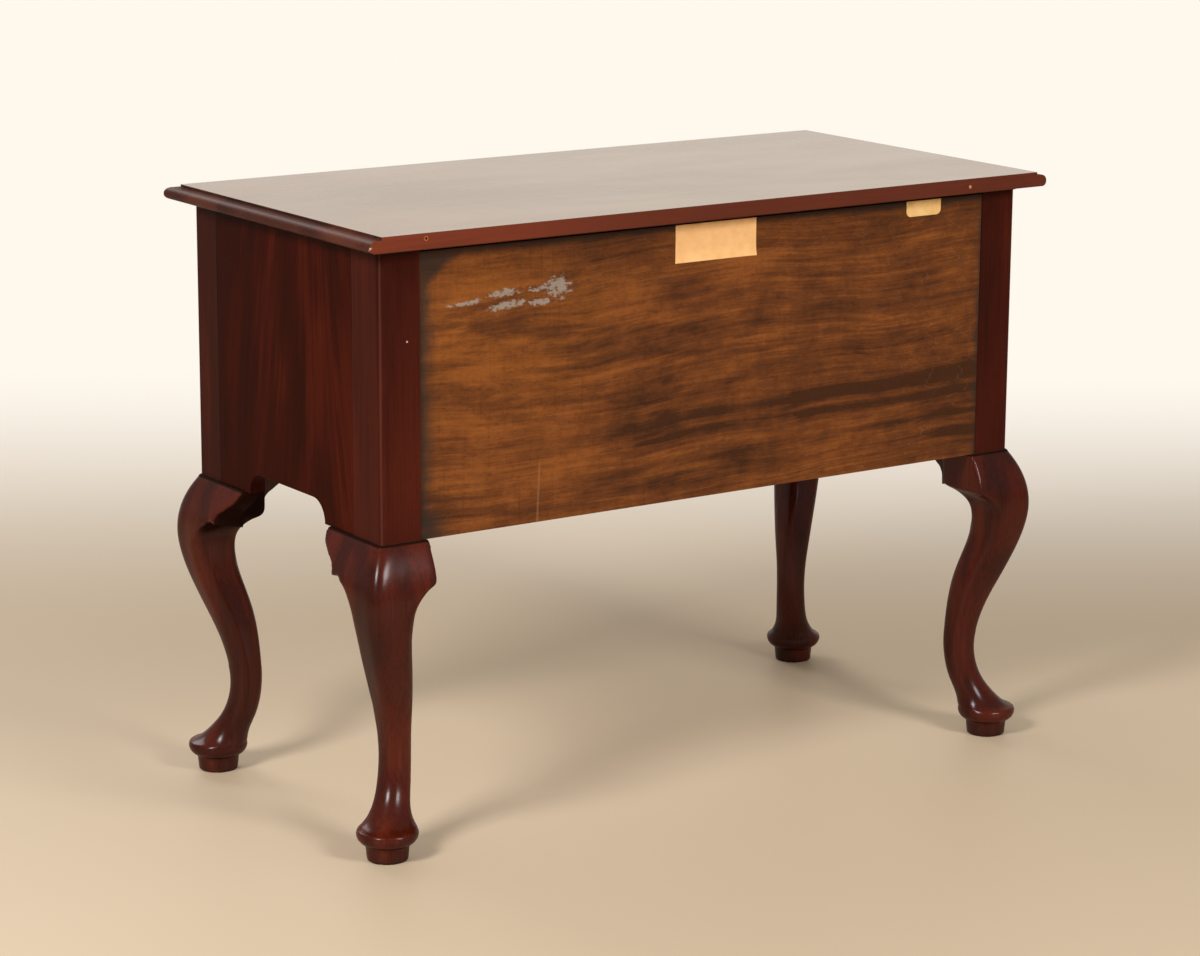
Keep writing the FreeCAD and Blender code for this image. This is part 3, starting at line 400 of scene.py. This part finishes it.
# a spot is its middle across and up, then half its width and half its height
backLook = {
    "slope": 0.02, "sway": 0.05, "swayScale": 3.2,
    "stripeStretch": 0.19, "stripeScale": 26.0, "broadScale": 5.0, "mottleScale": 38.0,
    "shares": {"stripes": 0.36, "threads": 0.2, "broad": 0.2, "mottle": 0.14, "fibre": 0.1},
    "tones": ((0.42, (0.052, 0.0180, 0.0072)), (0.505, (0.132, 0.0405, 0.0112)),
              (0.59, (0.245, 0.077, 0.0168))),
    "bands": ((0.522, 0.0160), (0.499, 0.0112), (0.467, 0.0096), (0.443, 0.0128)), "bandDepth": 0.11,
    "warmSpot": (0.30, 0.63, 0.19, 0.13), "orange": (0.34, 0.108, 0.017),
    "veins": {"turns": 12.0, "bend": 9.0, "half": 0.03, "core": 0.008, "endFrom": -0.2, "endFull": -0.34,
              "topFrom": 0.62, "topFull": 0.7, "topShare": 0.6, "share": 0.12},
    "line": (0.36, 0.17, 0.07), "press": {"from": 0.0, "full": 0.3, "least": 0.16, "most": 0.34},
    "pressShade": (0.45, 0.4, 0.38), "weaveShare": 0.3, "pores": 0.3, "poreShade": (0.45, 0.4, 0.35),
    "crack": {"x": 0.2805, "slant": -0.05, "half": 0.0022, "core": 0.0006, "top": 0.475, "full": 0.455,
              "share": 0.3},
    "stains": {"nearPost": (0.415, 0.438), "farPost": (-0.43, -0.444), "underTop": (0.732, 0.744),
               "rounded": (0.330, 0.655, 0.090, 0.076), "low": (0.43, 0.40, 0.045, 0.035), "share": 0.82},
    "stainAndShade": (0.028, 0.020, 0.016),
    "scuffs": ((0.2297, 0.673, 0.021, 0.015), (0.310, 0.674, 0.024, 0.0055), (0.304, 0.6594, 0.030, 0.0052),
               (0.2626, 0.6735, 0.018, 0.004), (0.2576, 0.658, 0.022, 0.0045), (0.363, 0.671, 0.026, 0.0035)),
    "scuff": (0.36, 0.32, 0.27), "scuffShare": 0.66,
    "rough": 0.42, "roughShift": 0.2, "specular": 0.1, "specularTint": (1.0, 0.8, 0.65), "bump": 0.15,
}


def ellipseMask(tree, across, up, spot, outer, inner):
    x, z, halfX, halfZ = spot
    offX = calc(tree, "DIVIDE", calc(tree, "SUBTRACT", across, x), halfX)
    offZ = calc(tree, "DIVIDE", calc(tree, "SUBTRACT", up, z), halfZ)
    reach = calc(tree, "ADD", product(tree, offX, offX), product(tree, offZ, offZ))
    return between(tree, calc(tree, "SQRT", reach), outer, inner)


# dark and light streaks, with darker bands across the lower half
def backTone(tree, look, level, layers):
    tone = 0.0
    for name, layer in layers.items():
        tone = calc(tree, "MULTIPLY_ADD", layer, look["shares"][name], tone)
    for height, half in look["bands"]:
        band = between(tree, distance(tree, level, height), half, 0.0)
        broken = product(tree, band, between(tree, layers["broad"], 0.62, 0.4))
        tone = calc(tree, "MULTIPLY_ADD", broken, -look["bandDepth"], tone)
    return tone


# thin looping lines towards one end and under the top
def veinMask(tree, veins, x, z, waved):
    drift = noise(tree, times(tree, waved, 0.35, 1.0, 1.6), scale=9.0, detail=4.0)
    drift = calc(tree, "MULTIPLY_ADD", x, veins["turns"], product(tree, drift, veins["bend"]))
    line = between(tree, distance(tree, calc(tree, "FRACT", drift), 0.5), veins["half"], veins["core"])
    underTop = product(tree, between(tree, z, veins["topFrom"], veins["topFull"]), veins["topShare"])
    ends = highest(tree, between(tree, x, veins["endFrom"], veins["endFull"]), underTop)
    return product(tree, line, ends, veins["share"])


# upright marks of the press, stronger towards one end
def pressMask(tree, press, place, x, mottle):
    marks = noise(tree, times(tree, place, 1.0, 0.0, 0.06), scale=190.0, detail=4.0, roughness=0.7)
    share = between(tree, x, press["from"], press["full"], press["least"], press["most"])
    return product(tree, between(tree, marks, 0.5, 0.68), share, between(tree, mottle, 0.35, 0.6))


# a pale crack that rises from the lower edge
def crackMask(tree, crack, x, z):
    off = distance(tree, x, calc(tree, "MULTIPLY_ADD", z, crack["slant"], crack["x"]))
    return product(tree, between(tree, off, crack["half"], crack["core"]),
                   between(tree, z, crack["top"], crack["full"]), crack["share"])


# dark stain beside both posts and around one upper corner, and painted shade under the top
def stainAndShadeMask(tree, stains, x, z, mottle):
    nearPost = between(tree, calc(tree, "MULTIPLY_ADD", mottle, 0.03, x), *stains["nearPost"])
    farPost = between(tree, calc(tree, "MULTIPLY_ADD", mottle, -0.03, x), *stains["farPost"])
    underTop = between(tree, calc(tree, "MULTIPLY_ADD", mottle, 0.02, z), *stains["underTop"])
    rounded = stains["rounded"]
    clean = ellipseMask(tree, highest(tree, x, rounded[0]), highest(tree, z, rounded[1]), rounded, 1.12, 0.97)
    low = ellipseMask(tree, x, z, stains["low"], 1.2, 0.4)
    stainAndShade = highest(tree, underTop, nearPost, farPost, calc(tree, "SUBTRACT", 1.0, clean), low)
    return product(tree, stainAndShade, stains["share"])


# pale patches rubbed through the stain, ragged at their rims
def scuffMask(tree, look, place, x, z, mottle, broad):
    fine = noise(tree, times(tree, place, 0.6, 1.0, 1.0), scale=210.0, detail=6.0, roughness=0.75)
    ragX = calc(tree, "MULTIPLY_ADD", mottle, 0.03, calc(tree, "SUBTRACT", x, 0.015))
    ragZ = calc(tree, "MULTIPLY_ADD", broad, 0.04, calc(tree, "SUBTRACT", z, 0.02))
    patch = highest(tree, *(ellipseMask(tree, ragX, ragZ, spot, 1.5, 0.2) for spot in look["scuffs"]))
    rubbed = between(tree, calc(tree, "MULTIPLY_ADD", patch, 0.24, fine), 0.61, 0.72)
    return product(tree, rubbed, between(tree, patch, 0.02, 0.3), look["scuffShare"])


def makeBack(look):
    material, tree, shader = newMaterial("stained_back")
    place = objectPlace(tree)
    apart = split(tree, place)
    x, z = apart["X"], apart["Z"]
    sway = noise(tree, times(tree, place, 1.0, 0.0, 0.7), scale=look["swayScale"], detail=1.5)
    level = calc(tree, "MULTIPLY_ADD", sway, look["sway"], calc(tree, "MULTIPLY_ADD", x, look["slope"], z))
    waved = put(tree, "ShaderNodeCombineXYZ", links={"X": x, "Z": level}).outputs[0]
    grain = useGroup(tree, grainGroup, {"Figure Scale": 5.0, "Stretch": 4.0, "Lines": 9.0, "Wander": 0.5},
                     {"Vector": waved})
    stripes = noise(tree, times(tree, waved, look["stripeStretch"], 1.0, 1.0), scale=look["stripeScale"],
                    detail=8.0, roughness=0.68, distortion=0.35)
    threads = noise(tree, times(tree, waved, 0.05, 1.0, 1.0), scale=150.0, detail=3.0, roughness=0.6)
    broad = noise(tree, times(tree, waved, 0.6, 1.0, 1.0), scale=look["broadScale"], detail=3.0)
    mottle = noise(tree, place, scale=look["mottleScale"], detail=4.0, roughness=0.6)
    tone = backTone(tree, look, level, {"stripes": stripes, "threads": threads, "broad": broad,
                                        "mottle": mottle, "fibre": grain["Fibre"]})
    colour = makeRamp(tree, tone, look["tones"])
    warm = product(tree, ellipseMask(tree, x, z, look["warmSpot"], 1.2, 0.3),
                   between(tree, stripes, 0.4, 0.6, 0.05, 0.4))
    colour = blendColour(tree, warm, colour, look["orange"])
    colour = blendColour(tree, veinMask(tree, look["veins"], x, z, waved), colour, look["line"])
    weave = noise(tree, times(tree, place, 0.35, 1.0, 1.0), scale=420.0, roughness=0.6)
    weave = between(tree, weave, 0.48, 0.7, 0.0, look["weaveShare"])
    for shade in (pressMask(tree, look["press"], place, x, mottle), weave):
        colour = blendColour(tree, shade, colour, look["pressShade"], "MULTIPLY")
    pores = product(tree, grain["Pore"], look["pores"])
    colour = blendColour(tree, pores, colour, look["poreShade"], "MULTIPLY")
    colour = blendColour(tree, crackMask(tree, look["crack"], x, z), colour, look["line"])
    # dark stain, with painted shade under the top
    colour = blendColour(tree, stainAndShadeMask(tree, look["stains"], x, z, mottle), colour, look["stainAndShade"])
    colour = blendColour(tree, scuffMask(tree, look, place, x, z, mottle, broad), colour, look["scuff"])
    tree.links.new(colour, shader.inputs["Base Color"])
    rough = calc(tree, "MULTIPLY_ADD", stripes, look["roughShift"], look["rough"])
    tree.links.new(rough, shader.inputs["Roughness"])
    shader.inputs["Specular IOR Level"].default_value = look["specular"]
    shader.inputs["Specular Tint"].default_value = look["specularTint"] + (1.0,)
    height = calc(tree, "MULTIPLY_ADD", grain["Fibre"], 0.5, threads)
    bump = put(tree, "ShaderNodeBump", {"Strength": look["bump"], "Distance": 0.0005}, {"Height": height})
    tree.links.new(bump.outputs[0], shader.inputs["Normal"])
    return material


backWood = makeBack(backLook)


brassLook = {"dull": (0.30, 0.17, 0.05), "bright": (0.62, 0.41, 0.14), "rubbed": (0.8, 0.6, 0.28),
             "edgeRadius": 0.0006, "wear": 0.5, "dullRough": 0.36, "brightRough": 0.22, "bump": 0.05}


def makeBrass(look):
    material, tree, shader = newMaterial("aged_brass")
    place = objectPlace(tree)
    edge = useGroup(tree, edgeGroup, {"Radius": look["edgeRadius"]})
    cloud = noise(tree, place, scale=60.0, detail=4.0)
    fine = noise(tree, place, scale=500.0)
    colour = blendColour(tree, between(tree, cloud, 0.35, 0.65), look["dull"], look["bright"])
    colour = blendColour(tree, product(tree, edge["Edge"], look["wear"]), colour, look["rubbed"])
    tree.links.new(colour, shader.inputs["Base Color"])
    shader.inputs["Metallic"].default_value = 1.0
    rough = between(tree, cloud, 0.3, 0.7, look["dullRough"], look["brightRough"])
    tree.links.new(rough, shader.inputs["Roughness"])
    bump = put(tree, "ShaderNodeBump", {"Strength": look["bump"], "Distance": 0.0003},
               {"Height": fine, "Normal": edge["Normal"]})
    tree.links.new(bump.outputs[0], shader.inputs["Normal"])
    return material


def makePaper(name, plain, stained, fibres):
    material, tree, shader = newMaterial(name)
    place = objectPlace(tree)
    cloud = noise(tree, place, scale=45.0, detail=4.0, roughness=0.6)
    fine = noise(tree, place, scale=900.0)
    colour = blendColour(tree, between(tree, cloud, 0.35, 0.7), plain, stained)
    colour = blendColour(tree, product(tree, between(tree, fine, 0.62, 0.75), 0.3), colour, fibres)
    tree.links.new(colour, shader.inputs["Base Color"])
    shader.inputs["Roughness"].default_value = 0.7
    bump = put(tree, "ShaderNodeBump", {"Strength": 0.15, "Distance": 0.0002}, {"Height": fine})
    tree.links.new(bump.outputs[0], shader.inputs["Normal"])
    return material


brass = makeBrass(brassLook)
labelPaper = makePaper("label_paper", (0.97, 0.57, 0.24), (0.90, 0.48, 0.185), (0.6, 0.28, 0.11))
tagCard = makePaper("tag_card", (0.93, 0.60, 0.24), (0.82, 0.48, 0.16), (0.6, 0.35, 0.1))
print("finishes ready")


# every CAD node gets its finish
def finishFor(node):
    if node == "top":
        return topWood
    if "knee_block" in node:
        return legWood
    if node == "back_panel":
        return backWood
    if node == "paper_label":
        return labelPaper
    if node == "card_tag":
        return tagCard
    if node.endswith(("bail", "plates", "posts")):
        return brass
    if node.endswith("side_panel"):
        return panelWood
    if node.endswith(("_leg", "divider")):
        return uprightWood
    if node.endswith(("runner", "partition", "kickers", "_sides")):
        return innerWood
    if node.startswith("rear_") or node.endswith(("_back", "_bottom")):
        return innerAcross
    return levelWood


for name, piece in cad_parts.items():
    piece.data.materials.clear()
    piece.data.materials.append(finishFor(name))
print("finishes assigned")


# tools for shaping pieces
def pickOnly(*pieces):
    bpy.ops.object.select_all(action="DESELECT")
    for piece in pieces:
        piece.select_set(True)
    bpy.context.view_layer.objects.active = pieces[0]


def copyNode(node, name, material):
    piece = bpy.data.objects.new(name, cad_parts[node].data.copy())
    bpy.context.scene.collection.objects.link(piece)
    piece.data.materials.clear()
    piece.data.materials.append(material)
    pickOnly(piece)
    bpy.ops.object.mode_set(mode="EDIT")
    bpy.ops.mesh.select_all(action="SELECT")
    bpy.ops.mesh.remove_doubles(threshold=0.00001)
    bpy.ops.mesh.normals_make_consistent(inside=False)
    bpy.ops.object.mode_set(mode="OBJECT")
    return piece


def applyModifier(piece, kind, **settings):
    pickOnly(piece)
    change = piece.modifiers.new("change", kind)
    for key, setting in settings.items():
        setattr(change, key, setting)
    bpy.ops.object.modifier_apply(modifier=change.name)


def smoothShade(piece, angle):
    pickOnly(piece)
    bpy.ops.object.shade_smooth_by_angle(angle=math.radians(angle))


def tell(piece):
    low, high = ([round(part, 4) for part in piece.bound_box[corner]] for corner in (0, 6))
    print(piece.name, len(piece.data.polygons), "faces from", low, "to", high)


# cuts a piece off level, above or below, and leaves it closed
def cutLevel(piece, height, keepAbove):
    reach = 1.0
    middle = height - reach if keepAbove else height + reach
    bpy.ops.object.select_all(action="DESELECT")
    bpy.ops.mesh.primitive_cube_add(size=2.0 * reach, location=(0.0, 0.0, middle))
    cutter = bpy.context.object
    applyModifier(piece, "BOOLEAN", operation="DIFFERENCE", solver="EXACT", object=cutter)
    bpy.data.objects.remove(cutter)


shaping = {
    "crest": 0.3911, "voxel": 0.0017, "factor": 0.5, "smoothings": 6,
    "kneeSmoothings": 26, "kneeFrom": 0.14, "kneeTo": 0.383,
    "ridgeSmoothings": 70, "ridgeHalf": 0.036, "ridgeTo": 0.3895, "postCentre": (0.448, 0.195),
    "angle": 32.0,
}
legBlocks = {
    "rear_right_leg": ("rear_right_knee_block",),
    "rear_left_leg": ("rear_left_knee_block",),
    "front_right_leg": ("front_right_side_knee_block", "front_right_knee_block"),
    "front_left_leg": ("front_left_side_knee_block", "front_left_knee_block"),
}


def onKnee(point):
    return shaping["kneeFrom"] < point.z < shaping["kneeTo"]


# the outer corner of a knee, where it is rounded off most
def onRidge(point):
    outX, outY = abs(point.x) - shaping["postCentre"][0], abs(point.y) - shaping["postCentre"][1]
    level = shaping["kneeFrom"] < point.z < shaping["ridgeTo"]
    return level and outX + outY > 0.0 and abs(outX - outY) < shaping["ridgeHalf"]


def smoothWhere(piece, belongs, passes):
    group = piece.vertex_groups.new(name="smoothed")
    group.add([vertex.index for vertex in piece.data.vertices if belongs(vertex.co)], 1.0, "REPLACE")
    applyModifier(piece, "SMOOTH", factor=shaping["factor"], iterations=passes, vertex_group=group.name)
    piece.vertex_groups.clear()


# a leg and its knee blocks are glued and shaped as one below the chest
def shapeLeg(node, blocks):
    post = copyNode(node, node + "_post", uprightWood)
    cutLevel(post, shaping["crest"], keepAbove=True)
    shin = copyNode(node, node + "_shaped", legWood)
    cutLevel(shin, shaping["crest"], keepAbove=False)
    glued = [copyNode(block, block + "_glued", legWood) for block in blocks]
    pickOnly(shin, *glued)
    bpy.ops.object.join()
    applyModifier(shin, "REMESH", mode="VOXEL", voxel_size=shaping["voxel"])
    applyModifier(shin, "SMOOTH", factor=shaping["factor"], iterations=shaping["smoothings"])
    smoothWhere(shin, onKnee, shaping["kneeSmoothings"])
    smoothWhere(shin, onRidge, shaping["ridgeSmoothings"])
    pickOnly(shin, post)
    bpy.ops.object.join()
    smoothShade(shin, shaping["angle"])
    applyModifier(shin, "WEIGHTED_NORMAL", weight=100, keep_sharp=True)
    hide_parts(node, *blocks)
    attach(shin, "case")
    tell(shin)


for legNode, blockNodes in legBlocks.items():
    shapeLeg(legNode, blockNodes)
print("legs shaped")


board = {
    "halfX": 0.508, "halfY": 0.254, "top": 0.762, "step": 0.758, "stepIn": 0.016, "under": 0.743,
    "upperRound": 0.008, "lowerRound": 0.0065, "rounds": 8,
    "seatHalfX": 0.480, "seatHalfY": 0.226, "seat": 0.737,
    "lap": 0.002, "near": 0.0001, "angle": 32.0,
}


def addSlab(low, high):
    bpy.ops.object.select_all(action="DESELECT")
    bpy.ops.mesh.primitive_cube_add(size=1.0, location=(0.0, 0.0, 0.0))
    slab = bpy.context.object
    low, high = Vector(low), Vector(high)
    bpy.ops.object.mode_set(mode="EDIT")
    bpy.ops.transform.resize(value=high - low)
    bpy.ops.transform.translate(value=(low + high) / 2)
    bpy.ops.object.mode_set(mode="OBJECT")
    return slab


# rounds the level edges at one height, but for the one along the back
def roundRim(slab, height, radius):
    bpy.ops.object.mode_set(mode="EDIT")
    bpy.ops.mesh.select_mode(type="EDGE")
    bpy.ops.mesh.select_all(action="DESELECT")
    bpy.ops.object.mode_set(mode="OBJECT")
    for edge in slab.data.edges:
        ends = [slab.data.vertices[index].co for index in edge.vertices]
        level = all(abs(end.z - height) < board["near"] for end in ends)
        atBack = all(end.y > board["halfY"] - board["near"] for end in ends)
        edge.select = level and not atBack
    bpy.ops.object.mode_set(mode="EDIT")
    bpy.ops.mesh.bevel(offset=radius, offset_type="OFFSET", segments=board["rounds"], profile=0.5,
                       affect="EDGES")
    bpy.ops.mesh.select_mode(type="VERT")
    bpy.ops.object.mode_set(mode="OBJECT")


# the top has a rounded rim below a small step, and a thicker middle that sits on the case
def makeTop():
    halfX, halfY, stepIn = board["halfX"], board["halfY"], board["stepIn"]
    seatX, seatY, lap = board["seatHalfX"], board["seatHalfY"], board["lap"]
    piece = addSlab((-halfX, -halfY, board["under"]), (halfX, halfY, board["step"]))
    piece.name = "moulded_top_board"
    roundRim(piece, board["step"], board["upperRound"])
    roundRim(piece, board["under"], board["lowerRound"])
    field = addSlab((stepIn - halfX, stepIn - halfY, board["step"] - lap),
                    (halfX - stepIn, halfY, board["top"]))
    seat = addSlab((-seatX, -seatY, board["seat"]), (seatX, seatY, board["under"] + lap))
    for part in (field, seat):
        applyModifier(piece, "BOOLEAN", operation="UNION", solver="EXACT", object=part)
        bpy.data.objects.remove(part)
    piece.data.materials.append(topWood)
    smoothShade(piece, board["angle"])
    applyModifier(piece, "WEIGHTED_NORMAL", weight=100, keep_sharp=True)
    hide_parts("top")
    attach(piece, "case")
    tell(piece)


makeTop()


sheet = {"low": (-0.0620, 0.2246, 0.6880), "high": (0.0600, 0.2246, 0.7350), "across": 24, "up": 12,
         "thick": 0.0003, "curl": 0.018, "lift": 0.0022, "angle": 32.0}


# the paper label lies flat and lifts a little at one lower corner
def makeLabel():
    low, high = Vector(sheet["low"]), Vector(sheet["high"])
    bpy.ops.object.select_all(action="DESELECT")
    bpy.ops.mesh.primitive_grid_add(x_subdivisions=sheet["across"], y_subdivisions=sheet["up"], size=1.0,
                                    location=(0.0, 0.0, 0.0))
    label = bpy.context.object
    label.name = "blank_label_sheet"
    bpy.ops.object.mode_set(mode="EDIT")
    bpy.ops.transform.resize(value=(high.x - low.x, high.z - low.z, 1.0))
    bpy.ops.transform.rotate(value=math.radians(-90), orient_axis="X", center_override=(0.0, 0.0, 0.0))
    bpy.ops.object.mode_set(mode="OBJECT")
    corner = min(label.data.vertices, key=lambda vertex: vertex.co.x + vertex.co.z).index
    bpy.ops.object.mode_set(mode="EDIT")
    bpy.ops.mesh.select_all(action="DESELECT")
    bpy.ops.object.mode_set(mode="OBJECT")
    label.data.vertices[corner].select = True
    bpy.ops.object.mode_set(mode="EDIT")
    bpy.ops.transform.translate(value=(0.0, sheet["lift"], 0.0), use_proportional_edit=True,
                                proportional_edit_falloff="SHARP", proportional_size=sheet["curl"])
    bpy.ops.mesh.select_all(action="SELECT")
    bpy.ops.transform.translate(value=(low + high) / 2)
    bpy.ops.object.mode_set(mode="OBJECT")
    label.data.materials.append(labelPaper)
    applyModifier(label, "SOLIDIFY", thickness=sheet["thick"], offset=0.0)
    pickOnly(label)
    bpy.ops.object.mode_set(mode="EDIT")
    bpy.ops.mesh.select_all(action="SELECT")
    bpy.ops.mesh.normals_make_consistent(inside=False)
    bpy.ops.object.mode_set(mode="OBJECT")
    smoothShade(label, sheet["angle"])
    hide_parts("paper_label")
    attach(label, "case")
    tell(label)


makeLabel()
print("top and label made")


room = {
    "floor": (0.62, 0.485, 0.335), "floorRough": 0.55, "floorSize": 60.0,
    "wall": (1.0, 0.94, 0.85), "high": (1.0, 0.85, 0.69), "dim": (0.42, 0.40, 0.37),
    "toWall": (-0.5628, -0.8266, 0.0), "fadeFrom": 0.5, "fadeTo": 2.6, "fill": 0.6,
}


# what the camera sees, straight or in a gloss
def seenMask(tree):
    path = tree.nodes.new("ShaderNodeLightPath").outputs
    return highest(tree, path["Is Camera Ray"], path["Is Glossy Ray"], path["Is Transmission Ray"])


# the floor turns into the pale backdrop on the far side
def makeFloor():
    bpy.ops.mesh.primitive_plane_add(size=room["floorSize"], location=(0.0, 0.0, 0.0))
    floor = bpy.context.object
    floor.name = "studio_floor"
    material, tree, shader = newMaterial("pale_floor")
    shader.inputs["Base Color"].default_value = room["floor"] + (1.0,)
    shader.inputs["Roughness"].default_value = room["floorRough"]
    place = objectPlace(tree)
    way = put(tree, "ShaderNodeVectorMath", {}, {0: place}, operation="NORMALIZE").outputs[0]
    beyond = between(tree, towards(tree, place, room["toWall"]), room["fadeFrom"], room["fadeTo"])
    facing = between(tree, towards(tree, way, room["toWall"]), 0.35, 0.7)
    glow = put(tree, "ShaderNodeEmission", {"Color": room["wall"] + (1.0,), "Strength": 1.0}).outputs[0]
    mixed = tree.nodes.new("ShaderNodeMixShader")
    tree.links.new(product(tree, beyond, seenMask(tree), facing), mixed.inputs[0])
    tree.links.new(shader.outputs[0], mixed.inputs[1])
    tree.links.new(glow, mixed.inputs[2])
    tree.links.new(mixed.outputs[0], tree.nodes["Material Output"].inputs["Surface"])
    floor.data.materials.append(material)


# a pale wall on the far side, a dimmer room on the near side
def makeWorld():
    world = bpy.data.worlds.new("studio")
    bpy.context.scene.world = world
    world.use_nodes = True
    tree = world.node_tree
    way = tree.nodes.new("ShaderNodeTexCoord").outputs["Generated"]
    wall = blendColour(tree, between(tree, split(tree, way)["Z"], 0.02, 0.24), room["wall"], room["high"])
    beyond = between(tree, towards(tree, way, room["toWall"]), 0.62, 0.9)
    colour = blendColour(tree, beyond, room["dim"], wall)
    strength = calc(tree, "MULTIPLY_ADD", seenMask(tree), 1.0 - room["fill"], room["fill"])
    background = tree.nodes["Background"]
    tree.links.new(colour, background.inputs["Color"])
    tree.links.new(strength, background.inputs["Strength"])


lamps = {
    "lamp_left": {"place": (3.2, 1.2, 2.6), "size": 1.0, "power": 110.0},
    "lamp_right": {"place": (-0.6, 3.8, 2.4), "size": 1.2, "power": 100.0},
    "lamp_front": {"place": (0.5, -4.0, 3.0), "size": 2.0, "power": 60.0},
}
lampTarget = (0.0, 0.0, 0.4)


def addLamp(name, place, size, power):
    bpy.ops.object.light_add(type="AREA", location=place)
    lamp = bpy.context.object
    lamp.name = name
    lamp.data.size = size
    lamp.data.energy = power
    lamp.rotation_euler = (Vector(lampTarget) - Vector(place)).to_track_quat("-Z", "Y").to_euler()


# lens in mm, angles in degrees
eye = {"place": (2.51503, 3.66956, 1.40448), "azimuth": 145.75, "elevation": 13.11, "roll": 0.30,
       "lens": 105.42, "sensor": 36.0}


def makeCamera():
    azimuth, elevation, roll = (math.radians(eye[key]) for key in ("azimuth", "elevation", "roll"))
    forward = Vector((-math.sin(azimuth) * math.cos(elevation), math.cos(azimuth) * math.cos(elevation),
                      -math.sin(elevation)))
    right = forward.cross(Vector((0.0, 0.0, 1.0))).normalized()
    up = right.cross(forward)
    across = right * math.cos(roll) + up * math.sin(roll)
    upward = up * math.cos(roll) - right * math.sin(roll)
    data = bpy.data.cameras.new("camera")
    data.lens = eye["lens"]
    data.sensor_width = eye["sensor"]
    camera = bpy.data.objects.new("camera", data)
    bpy.context.scene.collection.objects.link(camera)
    turn = Matrix((across, upward, -forward)).transposed().to_4x4()
    camera.matrix_world = Matrix.Translation(eye["place"]) @ turn
    bpy.context.scene.camera = camera


makeFloor()
makeWorld()
for name, lamp in lamps.items():
    addLamp(name, **lamp)
makeCamera()
bpy.context.scene.view_settings.view_transform = "Standard"
print("scene lit")
